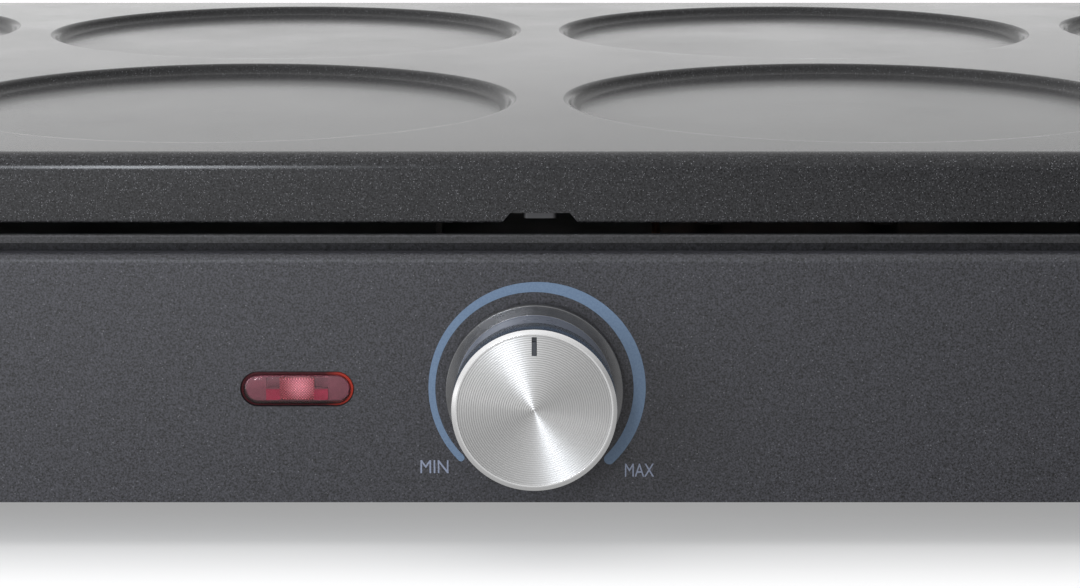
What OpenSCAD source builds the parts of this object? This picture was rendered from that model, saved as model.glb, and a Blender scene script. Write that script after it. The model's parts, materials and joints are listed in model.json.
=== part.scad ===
// Electric crepe maker: cast griddle plate on a low sheet-steel base with one thermostat knob.
// Millimetres, +Z up, front towards -Y. The origin is on the table, under the middle of the
// whole part; the plate's own middle lies a little behind it, because the knob stands out in front.

/* [Griddle plate] */
// Number of crepe recesses in a row
columns = 4; // [3:1:5]
// Distance between recess centres, both ways
pitch = 128; // [126:1:140]
// Diameter of a recess at its wall
recess_d = 116; // [100:0.1:118]
// Depth of a recess
recess_depth = 2.2; // [1.5:0.1:4.5]
// Rounding at a recess's rim
rim_round = 1.4; // [0.6:0.1:2.5]
// Rounding between a recess's wall and its floor
floor_round = 0.8; // [0.4:0.1:1.5]
// Land between a recess's wall and the edge of the plate
edge_land = 14.8; // [13:0.1:25]
// Thickness of the casting
deck_t = 3.5; // [3:0.1:4.5]
// Height of the turned-down skirt
skirt_h = 12.55; // [12:0.05:18]
// Thickness of the skirt
skirt_t = 3; // [2:0.1:4]
// Corner radius of the plate, seen from above
plate_corner = 20; // [14:1:30]
// Rounding along the plate's upper edge
edge_round = 3.5; // [1:0.1:3.5]
// Width of the skirt's notch at its top
notch_w = 10.8; // [9:0.1:16]
// Height of the skirt's notch
notch_h = 1.8; // [1:0.1:4]
// Width of the folded tab behind the notch
tab_w = 6.5; // [4:0.1:8]

/* [Base casing] */
// How far the casing stands out past the plate, all round
base_step = 4.7; // [3:0.1:8]
// Height of the casing's wall
shell_h = 46.15; // [44:0.05:60]
// Thickness of the casing's sheet
shell_t = 0.8; // [0.6:0.1:1.2]
// Outer radius of the rolled top edge
roll_r = 1.6; // [1.4:0.1:2]
// Distance from the casing's face to the hem's face
groove_w = 4; // [3.8:0.1:6]
// Height of the groove between the rolled edge and the hem
groove_h = 1.25; // [0.8:0.05:3]
// Height of the folded hem
hem_h = 1.55; // [1.2:0.05:2.5]
// Air gap between the hem and the skirt
plate_gap = 2; // [1:0.1:4]
// Clear height under the casing
foot_h = 8.5; // [7:0.1:15]
// Diameter of a foot where it meets the cover
foot_d = 22; // [16:1:26]

/* [Front panel] */
// Height of the knob's axis above the casing's lower edge
axis_h = 21.3; // [20:0.1:22.5]
// Sideways place of the knob's axis
knob_x = -1; // [-20:0.5:20]
// Sideways place of the pilot lamp
lamp_x = -43.9; // [-90:0.1:-34]
// Length of the pilot lamp's opening
lamp_l = 20.6; // [18:0.1:26]
// Height of the pilot lamp's opening
lamp_h = 6.5; // [5:0.1:9]
// Gap between the opening and the lens
lamp_gap = 0.6; // [0.3:0.1:1]
// How far the lens stands out
lens_out = 1; // [0.4:0.1:2]

/* [Knob] */
// Diameter of the knob's flange
flange_d = 32; // [31:0.1:38]
// Thickness of the knob's flange
flange_t = 1.9; // [1.5:0.1:3]
// Gap between the flange and the panel
flange_gap = 0.6; // [0.4:0.1:1.5]
// Diameter of the barrel behind the cap
barrel_d = 28.2; // [24:0.1:28.8]
// Diameter of the metal cap
cap_d = 29.1; // [29:0.1:31]
// Depth of the metal cap
cap_h = 5.9; // [4:0.1:8]
// How far the cap's face stands out from the panel
knob_out = 16; // [14:0.1:22]
// Width of the cap's polished chamfer
cap_bevel = 0.7; // [0.4:0.1:1.2]
// Thickness of the cap's metal
cap_t = 0.8; // [0.5:0.1:1]
// Length of the pointer slot
pointer_l = 3.4; // [2:0.1:6]
// Width of the pointer slot
pointer_w = 0.9; // [0.6:0.1:1.5]
// Diameter of the thermostat's shaft
shaft_d = 6; // [5:0.1:6.4]
// Depth of the flat along the shaft
shaft_flat = 1.5; // [1:0.1:2]

/* [Heating] */
// Diameter of the heating element's tube
element_d = 6.5; // [6:0.1:7.5]
// Gap between the plate's underside and the element
element_gap = 2.2; // [1.5:0.1:3]
// Depth of the frame below its hem
frame_drop = 8; // [7:0.1:10]
// Thickness of the frame's sheet
frame_t = 0.8; // [0.6:0.1:1]
// Depth of the reflector tray's pan
pan_depth = 4; // [3:0.1:5]
// Land of the tray outside its pan, measured from the plate's edge
pan_land = 32; // [30:1:40]
// Thickness of the tray and of the shield
tray_t = 0.6; // [0.4:0.1:0.8]
// Gap between the tray and the heat shield
shield_gap = 2; // [1:0.1:3]

/* [Supports and handles] */
// Distance from the plate's edges to the supports' centres
support_inset = 18; // [15:0.5:19]
// Diameter of a support pillar
pillar_d = 8; // [6:0.5:10]
// Diameter of a support's cap
cap_post_d = 12; // [10:0.5:14]
// Length of a handle
handle_l = 120; // [90:1:160]
// How far a handle stands out
handle_out = 32; // [28:1:40]
// Height of a handle
handle_h = 16; // [12:1:22]
// Thickness of a handle's grip
handle_t = 11; // [8:0.5:14]

/* [Hidden] */
$fn = 96;

rows = 2;
eps = 0.01;
// Running clearance of a shaft in its bore, each side
run_gap = 0.05;
// Clearance of a fixed piece in its hole, each side
hole_gap = 0.2;

// Plate, seen from above
edge_margin = recess_d / 2 + edge_land;
plate_w = (columns - 1) * pitch + 2 * edge_margin;
plate_d = (rows - 1) * pitch + 2 * edge_margin;
recess_x = [for (i = [0:columns - 1]) (i - (columns - 1) / 2) * pitch];
recess_y = [for (j = [0:rows - 1]) (j - (rows - 1) / 2) * pitch];
corner_x = plate_w / 2 - support_inset;
support_y = plate_d / 2 - support_inset;
middle_x = [for (i = [1:columns - 1]) if (abs(i - columns / 2) > 0.1) (i - columns / 2) * pitch];

// Casing, seen from above
base_w = plate_w + 2 * base_step;
base_d = plate_d + 2 * base_step;
base_corner = plate_corner + base_step;
front_y = -base_d / 2;
rear_y = base_d / 2;

// Heights, from the table up
shell_z = foot_h;
shell_top = shell_z + shell_h;
hem_z = shell_top + groove_h;
rim_top = hem_z + hem_h;
skirt_z = rim_top + plate_gap;
plate_top = skirt_z + skirt_h;
deck_z = plate_top - deck_t;
pocket_z = plate_top - recess_depth - deck_t;
axis_z = shell_z + axis_h;

// Cover and flange at the casing's lower edge
cover_t = 0.8;
cover_lift = 0.3;
cover_z = shell_z + cover_lift;
flange_z = cover_z + cover_t;
flange_w = 34;
seam_y = base_d / 2 - flange_w - 2;
floor_z = flange_z + shell_t;

// Frame: the wall stands one hem inside the hem's face
hem_out = 0.8;
rim_inset = groove_w + hem_out;
rim_w = base_w - 2 * rim_inset;
rim_d = base_d - 2 * rim_inset;
rim_corner = base_corner - rim_inset;
frame_z = rim_top - frame_drop;
frame_flange_w = pan_land + base_step - rim_inset - 3;

// Tray and shield
tray_z = frame_z + frame_t;
pan_w = plate_w - 2 * pan_land;
pan_d = plate_d - 2 * pan_land;
pan_corner = 12;
pan_z = tray_z - pan_depth;
shield_z = pan_z - shield_gap - tray_t;
tray_gap = 0.6;

// Heating element
element_r = element_d / 2;
element_z = pocket_z - element_gap - element_r;
run_out = pitch / 2 + 20;
run_in = pitch / 2 - 22;
bend_out = (run_out - run_in) / 2;
bend_in = run_in;
run_left = -(pan_w / 2 - bend_out - element_d);
run_right = pan_w / 2 - bend_in - element_d;
leg_bend = 10;
leg_x = pan_w / 2 - 12;
leg_z = shield_z - 6;
pin_d = 2.6;
pin_l = 5;
tag_l = 8;
bush_d = element_d + 6;

// Supports
boss_d = cap_post_d + 2;
boss_z = deck_z - 6;
post_cap_h = 4;
collar_h = 2;
spigot_d = 5;
spigot_h = 3;
post_z = boss_z - post_cap_h;

// Screws
screw_r = 2;
screw_in = 10;
head_r = 3.8;
head_h = 2.2;
screw_gap = 0.1;
cover_screw_r = 1.5;
cover_screw_l = 7.8;
cover_head_r = 3;
cover_head_h = 1.8;
cover_screw_in = 9;
handle_screw_in = 11;
screw_hole_l = 13;

// Thermostat
stat_w = 34;
stat_h = 21;
stat_l = 20;
stat_tag = 8;
stat_tag_x = 8;
stat_y = front_y + shell_t + 3;
bush_r = 5;
bush_past = 0.4;
nut_w = 14;
nut_t = 2.5;
shaft_r = shaft_d / 2;
flange_face_y = front_y - flange_gap - flange_t;
knob_face_y = front_y - knob_out;
cap_back_y = knob_face_y + cap_h;
barrel_face_y = knob_face_y + cap_t;
shaft_tip_y = front_y - knob_out + cap_t + 2.6;
bulb_d = 5;
bulb_l = 60;
bulb_y = (run_out + run_in) / 2;
tube_d = 1.6;
tube_x = knob_x + 24;
tube_out = 10;
tube_down_y = -pan_d / 2 + 14;

// Pilot lamp
lens_l = lamp_l - 2 * lamp_gap;
lens_h = lamp_h - 2 * lamp_gap;
lens_round = 0.8;
lens_deep = 6;
holder_t = 1.2;
neon_d = 4;
neon_l = 11;

// Cord gland and wiring
gland_x = plate_w / 2 - 78;
gland_z = shell_z + 20;
gland_hole_r = 4;
gland_r = 7;
gland_out = 5;
gland_in = 12;
wire_d = 2.4;
block_x = gland_x - 38;
block_y = rear_y - 48;
block_l = 30;
block_d = 18;
block_h = 14;
block_z = flange_z;

// Handles
handle_z = shell_z + shell_h * 0.55;
handle_leg = 18;

// ---------------------------------------------------------------- shared shapes

// Every piece is drawn about the plate's middle and placed about the part's middle
module placed() {
    translate([0, (knob_out - gland_out) / 2, 0])
        children();
}

// Rectangle with true round corners, centred
module round_rect(w, d, r) {
    square([w - 2 * r, d], center = true);
    square([w, d - 2 * r], center = true);
    for (x = [-1, 1], y = [-1, 1])
        translate([x * (w / 2 - r), y * (d / 2 - r)])
            circle(r);
}

// Flat band that follows a rounded rectangle, t wide inwards
module band(w, d, r, t) {
    difference() {
        round_rect(w, d, r);
        round_rect(w - 2 * t, d - 2 * t, max(r - t, 1));
    }
}

// Sweeps a profile round a rounded rectangle: x is outwards from the edge, y is up
module sweep_round(w, d, r) {
    for (turn = [0, 180])
        rotate([0, 0, turn]) {
            translate([w / 2, 0, 0])
                rotate([90, 0, 0])
                    linear_extrude(d - 2 * r, center = true)
                        children();
            rotate([0, 0, 90])
                translate([d / 2, 0, 0])
                    rotate([90, 0, 0])
                        linear_extrude(w - 2 * r, center = true)
                            children();
        }
    for (quarter = [0:3])
        translate([
            (quarter == 0 || quarter == 3 ? 1 : -1) * (w / 2 - r),
            (quarter < 2 ? 1 : -1) * (d / 2 - r),
            0
        ])
            rotate([0, 0, 90 * quarter])
                rotate_extrude(angle = 90)
                    translate([r, 0])
                        children();
}

// Pill outline, l long and h high
module pill(l, h) {
    square([l - h, h], center = true);
    for (x = [-1, 1])
        translate([x * (l - h) / 2, 0])
            circle(h / 2);
}

// Points the extrusion of its child away from the viewer, along +Y, from y = 0
module towards_back() {
    rotate([90, 0, 0])
        mirror([0, 0, 1])
            children();
}

// Cylinder along +Y, from y = 0
module rod_y(r, l) {
    towards_back() cylinder(r = r, h = l);
}

// Pan-head screw, head down: the head hangs below z = 0 and the shank stands above it
module screw_up(r, l, head_r, head_h) {
    cylinder(r = r, h = l);
    translate([0, 0, -head_h])
        difference() {
            cylinder(r = head_r, h = head_h);
            for (a = [0, 90])
                rotate([0, 0, a])
                    translate([-head_r * 0.6, -0.4, -eps])
                        cube([head_r * 1.2, 0.8, head_h * 0.5]);
        }
}

// Corner b of a path, rounded into five points between its neighbours a and c
function corner_points(a, b, c, bend) =
    let (
        before = norm(a - b),
        after = norm(c - b),
        cut = min(bend, before / 2, after / 2),
        p = b + (a - b) * cut / before,
        q = b + (c - b) * cut / after
    )
    [for (t = [0:0.25:1]) (1 - t) * (1 - t) * p + 2 * t * (1 - t) * b + t * t * q];

// Path with every inner corner rounded
function soft_path(points, bend) = concat(
    [points[0]],
    [
        for (i = [1:len(points) - 2])
            each corner_points(points[i - 1], points[i], points[i + 1], bend)
    ],
    [points[len(points) - 1]]
);

// Round wire through a list of points, with softly bent corners
module wire(points, r) {
    path = soft_path(points, 6 * r);
    for (i = [0:len(path) - 2])
        hull() {
            translate(path[i])
                sphere(r, $fn = 8);
            translate(path[i + 1])
                sphere(r, $fn = 8);
        }
}

// The four supports that stand over the feet
module at_corners() {
    for (x = [-corner_x, corner_x], y = [-support_y, support_y])
        translate([x, y, 0])
            children();
}

// The supports between the columns of recesses, clear of the thermostat
module at_middles() {
    for (x = middle_x, y = [-support_y, support_y])
        translate([x, y, 0])
            children();
}

module at_supports() {
    at_corners() children();
    at_middles() children();
}

// ---------------------------------------------------------------- griddle plate

// Cuts one recess: straight wall, rounded rim and rounded floor corner
module recess_cutter() {
    r = recess_d / 2;
    corner = min(floor_round, recess_depth / 2);
    lip = min(rim_round, recess_depth - corner);
    rotate_extrude() {
        translate([0, corner - recess_depth])
            square([r, recess_depth - corner + 1]);
        translate([0, -recess_depth])
            square([r - corner, recess_depth]);
        translate([r - corner, corner - recess_depth])
            circle(corner);
        difference() {
            translate([r - eps, -lip])
                square([lip + eps, lip + 1]);
            translate([r + lip, -lip])
                circle(lip);
        }
    }
}

// Rounds an upper outer edge
module edge_cutter(r) {
    difference() {
        translate([-r, -r])
            square(r + 1);
        translate([-r, -r])
            circle(r);
    }
}

// Notch in the skirt's lower edge, wider at its foot
module notch_cutter() {
    foot = notch_w / 2 + 1.5;
    top = notch_w / 2;
    rotate([90, 0, 0])
        linear_extrude(skirt_t * 3, center = true)
            polygon([[-foot, -eps], [foot, -eps], [top, notch_h], [-top, notch_h]]);
}

module griddle_plate() {
    color([0.27, 0.27, 0.28]) placed()
        difference() {
            union() {
                translate([0, 0, deck_z])
                    linear_extrude(deck_t)
                        round_rect(plate_w, plate_d, plate_corner);
                translate([0, 0, skirt_z])
                    linear_extrude(skirt_h - deck_t / 2)
                        band(plate_w, plate_d, plate_corner, skirt_t);
                for (x = recess_x, y = recess_y)
                    translate([x, y, pocket_z])
                        cylinder(r = recess_d / 2 + deck_t, h = recess_depth + deck_t / 2);
                at_supports()
                    translate([0, 0, boss_z])
                        cylinder(d = boss_d, h = deck_z - boss_z + eps);
            }
            at_supports()
                translate([0, 0, boss_z - eps])
                    cylinder(d = spigot_d + 1, h = spigot_h + 1);
            translate([0, rivet_y, deck_z - eps])
                cylinder(r = rivet_r, h = rivet_in);
            translate([0, 0, plate_top])
                sweep_round(plate_w, plate_d, plate_corner)
                    edge_cutter(edge_round);
            for (x = recess_x, y = recess_y)
                translate([x, y, plate_top])
                    recess_cutter();
            for (y = [-1, 1])
                translate([0, y * (plate_d - skirt_t) / 2, skirt_z])
                    notch_cutter();
        }
}

tab_t = 0.8;
tab_foot = 9;
tab_y = -plate_d / 2 + skirt_t + 0.2;
tab_curl = 1;
tab_lift = 0.2;
rivet_r = 1.6;
rivet_in = 2;
rivet_y = tab_y + tab_foot - (tab_w - 2 * tab_curl) / 2;

// Folded strip: a web behind the notch with two curled sides, and a foot under the plate
module plate_tab() {
    web = tab_w - 2 * tab_curl;
    color([0.42, 0.42, 0.43]) placed() {
        difference() {
            union() {
                translate([-web / 2, tab_y, skirt_z + tab_lift])
                    cube([web, tab_t, deck_z - skirt_z - tab_lift]);
                translate([-web / 2, tab_y, deck_z - tab_t])
                    cube([web, tab_foot, tab_t]);
            }
            translate([0, rivet_y, deck_z - 2 * tab_t])
                cylinder(r = rivet_r, h = 3 * tab_t);
        }
        for (side = [-1, 1])
            translate([side * web / 2, tab_y + tab_curl, skirt_z + tab_lift])
                linear_extrude(notch_h + 2)
                    intersection() {
                        difference() {
                            circle(tab_curl);
                            circle(tab_curl - tab_t / 2);
                        }
                        translate([side > 0 ? 0 : -tab_curl, -tab_curl])
                            square([tab_curl, 2 * tab_curl]);
                    }
    }
}

module tab_rivet() {
    color("silver") placed()
        translate([0, rivet_y, deck_z - tab_t]) {
            cylinder(r = rivet_r, h = tab_t + rivet_in - eps);
            translate([0, 0, -1])
                cylinder(r1 = rivet_r * 0.8, r2 = rivet_r * 1.4, h = 1);
        }
}

// ---------------------------------------------------------------- base casing

// Profile of the rolled top edge: wall, quarter roll and a short lip
module roll_profile() {
    intersection() {
        translate([-roll_r, -roll_r])
            difference() {
                circle(roll_r);
                circle(roll_r - shell_t);
            }
        translate([-roll_r, -roll_r])
            square(roll_r);
    }
    translate([-2 * roll_r, -shell_t])
        square([roll_r, shell_t]);
}

// Casing's whole wall: the front and rear pressings and the side sheets are welded edge to edge
module casing_wall() {
    difference() {
        union() {
            translate([0, 0, shell_z])
                linear_extrude(shell_h - roll_r)
                    band(base_w, base_d, base_corner, shell_t);
            translate([0, 0, shell_top])
                sweep_round(base_w, base_d, base_corner)
                    roll_profile();
            translate([0, 0, flange_z])
                linear_extrude(shell_t)
                    band(base_w - shell_t, base_d - shell_t, base_corner - shell_t / 2, flange_w);
        }
        translate([knob_x, front_y - 1, axis_z])
            rod_y(bush_r + hole_gap, shell_t + 2);
        translate([lamp_x, front_y - 1, axis_z])
            towards_back()
                linear_extrude(shell_t + 2)
                    pill(lamp_l, lamp_h);
        translate([gland_x, rear_y - shell_t - 1, gland_z])
            rod_y(gland_r - 2, shell_t + 2);
        for (side = [-1, 1], y = [-1, 1])
            translate([side * base_w / 2, y * (handle_l - handle_leg) / 2, handle_z])
                rotate([0, 90, 0])
                    cylinder(r = screw_r + screw_gap, h = 4 * shell_t, center = true);
        at_supports()
            translate([0, 0, flange_z - 1])
                cylinder(r = screw_r + screw_gap, h = shell_t + 2);
        at_cover_screws()
            translate([0, 0, flange_z - 1])
                cylinder(r = cover_screw_r + screw_gap / 2, h = shell_t + 2);
    }
}

// Part of the wall between two corners of a box
module wall_part(low, high) {
    color([0.26, 0.26, 0.28]) placed()
        intersection() {
            casing_wall();
            translate(low)
                cube(high - low);
        }
}

module shell_front() {
    wall_part([-base_w, -base_d, 0], [base_w, -seam_y, plate_top]);
}

module shell_rear() {
    wall_part([-base_w, seam_y, 0], [base_w, base_d, plate_top]);
}

module shell_left() {
    wall_part([-base_w, -seam_y, 0], [0, seam_y, plate_top]);
}

module shell_right() {
    wall_part([0, -seam_y, 0], [base_w, seam_y, plate_top]);
}

module rim_frame() {
    color([0.24, 0.24, 0.26]) placed()
        difference() {
            union() {
                translate([0, 0, frame_z])
                    linear_extrude(rim_top - frame_z - hem_h / 2)
                        band(rim_w, rim_d, rim_corner, frame_t);
                translate([0, 0, rim_top])
                    sweep_round(rim_w, rim_d, rim_corner)
                        hem_profile();
                translate([0, 0, frame_z])
                    linear_extrude(frame_t)
                        band(rim_w - frame_t, rim_d - frame_t, rim_corner - frame_t / 2, frame_flange_w);
            }
            at_supports()
                translate([0, 0, frame_z - 1])
                    cylinder(d = pillar_d + 2 * hole_gap, h = frame_t + 2);
        }
}

// Folded hem, with its upper edges rounded
module hem_profile() {
    r = 0.4;
    translate([-frame_t, -hem_h])
        square([frame_t + hem_out, hem_h - r]);
    translate([-frame_t + r, -hem_h])
        square([frame_t + hem_out - 2 * r, hem_h]);
    for (x = [-frame_t + r, hem_out - r])
        translate([x, -r])
            circle(r);
}

module at_cover_screws() {
    for (x = [-base_w / 4, base_w / 4], side = [-1, 1])
        translate([x, side * (base_d / 2 - cover_screw_in), 0])
            children();
    for (side = [-1, 1])
        translate([side * (base_w / 2 - cover_screw_in), 0, 0])
            children();
}

vent_l = 36;
vent_w = 3;
vent_pitch = 9;
vent_count = 9;

module bottom_cover() {
    edge = shell_t + 0.3;
    color([0.3, 0.3, 0.31]) placed()
        difference() {
            translate([0, 0, cover_z])
                linear_extrude(cover_t)
                    round_rect(base_w - 2 * edge, base_d - 2 * edge, base_corner - edge);
            for (bank = [-1, 1], i = [0:vent_count - 1])
                translate([
                    bank * plate_w / 4 + (i - (vent_count - 1) / 2) * vent_pitch,
                    0,
                    cover_z - 1
                ])
                    linear_extrude(cover_t + 2)
                        rotate([0, 0, 90])
                            pill(vent_l, vent_w);
            at_supports()
                translate([0, 0, cover_z - 1])
                    cylinder(r = screw_r + screw_gap, h = cover_t + 2);
            at_cover_screws()
                translate([0, 0, cover_z - 1])
                    cylinder(r = cover_screw_r + 2 * screw_gap, h = cover_t + 2);
        }
}

// Spacers from the casing's floor to the caps, with a collar that carries the frame
module pillars() {
    color("silver") placed()
        at_supports()
            difference() {
                union() {
                    translate([0, 0, floor_z])
                        cylinder(d = pillar_d, h = post_z + post_cap_h / 2 - floor_z);
                    translate([0, 0, frame_z - collar_h])
                        cylinder(d = pillar_d + 4, h = collar_h);
                }
                translate([0, 0, floor_z - eps])
                    cylinder(r = screw_r, h = screw_hole_l);
            }
}

// Clips on the corner pillars that hold the heat shield up
module shield_clips() {
    color("silver") placed()
        at_corners()
            translate([0, 0, shield_z - collar_h])
                difference() {
                    cylinder(d = pillar_d + 4, h = collar_h);
                    translate([0, 0, -1])
                        cylinder(d = pillar_d, h = collar_h + 2);
                }
}

module post_caps() {
    color([0.75, 0.72, 0.66]) placed()
        at_supports()
            translate([0, 0, post_z])
                difference() {
                    union() {
                        cylinder(d = cap_post_d, h = post_cap_h);
                        cylinder(d = spigot_d, h = post_cap_h + spigot_h);
                    }
                    translate([0, 0, -eps])
                        cylinder(d = pillar_d, h = post_cap_h / 2 + eps);
                }
}

foot_bore = 9;
foot_seat = 3.5;

// Foot at one corner: side_x and side_y are -1 or 1
module foot(side_x, side_y) {
    color([0.08, 0.08, 0.08]) placed()
        translate([side_x * corner_x, side_y * support_y, 0])
            difference() {
                union() {
                    cylinder(d1 = foot_d - 4, d2 = foot_d, h = 4);
                    translate([0, 0, 4])
                        cylinder(d = foot_d, h = cover_z - 4);
                }
                translate([0, 0, -eps])
                    cylinder(d = foot_bore, h = foot_seat + eps);
                translate([0, 0, -eps])
                    cylinder(r = screw_r + screw_gap, h = cover_z + 1);
            }
}

module foot_front_left() { foot(-1, -1); }
module foot_front_right() { foot(1, -1); }
module foot_rear_left() { foot(-1, 1); }
module foot_rear_right() { foot(1, 1); }

module foot_screws() {
    color("silver") placed()
        at_corners()
            translate([0, 0, foot_seat])
                screw_up(screw_r, floor_z - foot_seat + screw_in, head_r, head_h);
}

module cover_screws() {
    color("silver") placed()
        at_cover_screws()
            translate([0, 0, cover_z])
                screw_up(cover_screw_r, cover_screw_l, cover_head_r, cover_head_h);
}

// Screws from below into the pillars that stand between the feet
module pillar_screws() {
    color("silver") placed()
        at_middles()
            translate([0, 0, cover_z])
                screw_up(screw_r, floor_z - cover_z + screw_in, head_r, head_h);
}

// ---------------------------------------------------------------- handles

// Grip bar with a leg at each end, standing out along +X from x = 0
module handle() {
    difference() {
        translate([0, 0, -handle_h / 2])
            linear_extrude(handle_h)
                difference() {
                    handle_outline();
                    handle_gap_outline();
                }
        for (y = [-1, 1])
            translate([-1, y * (handle_l - handle_leg) / 2, 0])
                rotate([0, 90, 0])
                    cylinder(r = screw_r, h = screw_hole_l);
    }
}

module handle_outline() {
    r = 10;
    translate([0, -handle_l / 2])
        square([handle_out - r, handle_l]);
    translate([0, r - handle_l / 2])
        square([handle_out, handle_l - 2 * r]);
    for (y = [-1, 1])
        translate([handle_out - r, y * (handle_l / 2 - r)])
            circle(r);
}

module handle_gap_outline() {
    r = 6;
    gap_l = handle_l - 2 * handle_leg;
    gap_x = handle_out - handle_t;
    translate([-1, -gap_l / 2])
        square([gap_x - r + 1, gap_l]);
    translate([-1, r - gap_l / 2])
        square([gap_x + 1, gap_l - 2 * r]);
    for (y = [-1, 1])
        translate([gap_x - r, y * (gap_l / 2 - r)])
            circle(r);
}

module handle_right() {
    color([0.07, 0.07, 0.07]) placed()
        translate([base_w / 2, 0, handle_z])
            handle();
}

module handle_left() {
    color([0.07, 0.07, 0.07]) placed()
        rotate([0, 0, 180])
            translate([base_w / 2, 0, handle_z])
                handle();
}

module handle_screws() {
    color("silver") placed()
        for (turn = [0, 180], y = [-1, 1])
            rotate([0, 0, turn])
                translate([base_w / 2 - shell_t, y * (handle_l - handle_leg) / 2, handle_z])
                    rotate([0, 90, 0])
                        screw_up(screw_r, shell_t + handle_screw_in, head_r, head_h);
}

// ---------------------------------------------------------------- heating

// Holes that the two legs of the element go down through
module leg_holes(r) {
    for (y = [-run_out, run_out])
        translate([leg_x, y, shield_z - 5])
            cylinder(r = r, h = 30);
}

module reflector_tray() {
    tray_w = rim_w - 2 * frame_t - 2 * tray_gap;
    tray_d = rim_d - 2 * frame_t - 2 * tray_gap;
    tray_corner = rim_corner - frame_t - tray_gap;
    color([0.72, 0.73, 0.75]) placed()
        difference() {
            union() {
                translate([0, 0, tray_z])
                    linear_extrude(tray_t)
                        difference() {
                            round_rect(tray_w, tray_d, tray_corner);
                            round_rect(pan_w - tray_t, pan_d - tray_t, pan_corner);
                        }
                translate([0, 0, pan_z])
                    linear_extrude(pan_depth + tray_t)
                        band(pan_w, pan_d, pan_corner, tray_t);
                translate([0, 0, pan_z])
                    linear_extrude(tray_t)
                        round_rect(pan_w - tray_t, pan_d - tray_t, pan_corner);
            }
            at_supports()
                translate([0, 0, tray_z - 1])
                    cylinder(d = pillar_d + 2 * hole_gap, h = tray_t + 2);
            leg_holes(bush_d / 2 - 1.2);
            translate([tube_x, tube_down_y, pan_z - 1])
                cylinder(r = tube_d, h = tray_t + 2);
        }
}

// Flat sheet under the tray, carried by the pillars
module heat_shield() {
    ear = 2 * pillar_d;
    color([0.6, 0.61, 0.63]) placed()
        difference() {
            translate([0, 0, shield_z])
                linear_extrude(tray_t)
                    union() {
                        round_rect(pan_w, pan_d, pan_corner);
                        for (x = [-corner_x, corner_x]) {
                            for (y = [-support_y, support_y])
                                translate([x, y])
                                    circle(ear / 2);
                            translate([x, 0])
                                square([ear, 2 * support_y], center = true);
                        }
                        square([2 * corner_x, pan_d - 40], center = true);
                    }
            at_corners()
                translate([0, 0, shield_z - 1])
                    cylinder(d = pillar_d + 2 * hole_gap, h = tray_t + 2);
            leg_holes(bush_d / 2 - 1.2);
            translate([tube_x, tube_down_y, shield_z - 1])
                cylinder(r = tube_d, h = tray_t + 2);
        }
}

// Straight run of the tube along X
module run_x(x0, x1, y) {
    translate([x0, y, element_z])
        rotate([0, 90, 0])
            cylinder(r = element_r, h = x1 - x0);
}

// Half-turn of the tube, opening to +X or -X
module half_turn(x, y, r, side) {
    translate([x, y, element_z])
        rotate([0, 0, side > 0 ? -90 : 90])
            rotate_extrude(angle = 180)
                translate([r, 0])
                    circle(element_r);
}

// One tube: out along the front, back and forth, and home along the rear
module heating_element() {
    color([0.28, 0.27, 0.26]) placed() {
        for (side = [-1, 1]) {
            run_x(run_left, leg_x - leg_bend, side * run_out);
            run_x(run_left, run_right, side * run_in);
            half_turn(run_left, side * (run_out + run_in) / 2, bend_out, -1);
            translate([leg_x - leg_bend, side * run_out, element_z - leg_bend])
                rotate([90, 0, 0])
                    rotate_extrude(angle = 90)
                        translate([leg_bend, 0])
                            circle(element_r);
            translate([leg_x, side * run_out, leg_z])
                cylinder(r = element_r, h = element_z - leg_bend - leg_z);
        }
        half_turn(run_right, 0, bend_in, 1);
    }
}

comb_t = 1.2;
comb_x = [run_left + 30, tube_x - 43, run_right - 14];

// Comb-shaped carriers that stand on the tray and hold the tube's four runs
module element_supports() {
    low = pan_z + tray_t;
    top = element_z;
    color([0.62, 0.62, 0.63]) placed()
        for (x = comb_x)
            translate([x - comb_t / 2, 0, 0])
                rotate([90, 0, 90])
                    linear_extrude(comb_t)
                        difference() {
                            translate([-run_out - 6, low])
                                square([2 * run_out + 12, top - low]);
                            for (y = [-run_out, -run_in, run_in, run_out])
                                translate([y, element_z])
                                    circle(element_r + 0.02);
                            for (y = [-bulb_y, 0, bulb_y])
                                translate([y - 14, low + 3])
                                    square([28, top - low]);
                        }
}

module element_bushes() {
    color([0.9, 0.88, 0.82]) placed()
        for (y = [-run_out, run_out])
            translate([leg_x, y, 0])
                difference() {
                    union() {
                        translate([0, 0, pan_z + tray_t])
                            cylinder(d = bush_d, h = 1.5);
                        translate([0, 0, shield_z - 2])
                            cylinder(d = bush_d - 2.6, h = pan_z + tray_t + 2 - shield_z);
                    }
                    translate([0, 0, leg_z])
                        cylinder(r = element_r + 0.02, h = element_z - leg_z);
                }
}

// Cold pins with flat tags
module element_terminals() {
    color([0.75, 0.7, 0.5]) placed()
        for (y = [-run_out, run_out])
            translate([leg_x, y, leg_z - pin_l]) {
                cylinder(d = pin_d, h = pin_l);
                translate([-3.15, -0.4, -tag_l])
                    cube([6.3, 0.8, tag_l]);
            }
}

// One-shot cut-out, clipped under the heat shield
fuse_x = -70;
fuse_y = 20;
fuse_r = 3;
fuse_l = 16;

module thermal_fuse() {
    color([0.85, 0.84, 0.8]) placed()
        translate([fuse_x, fuse_y, shield_z - fuse_r - 0.3])
            rotate([0, 90, 0]) {
                cylinder(r = fuse_r, h = fuse_l, center = true);
                cylinder(r = 0.5, h = fuse_l + 16, center = true);
            }
}

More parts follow.
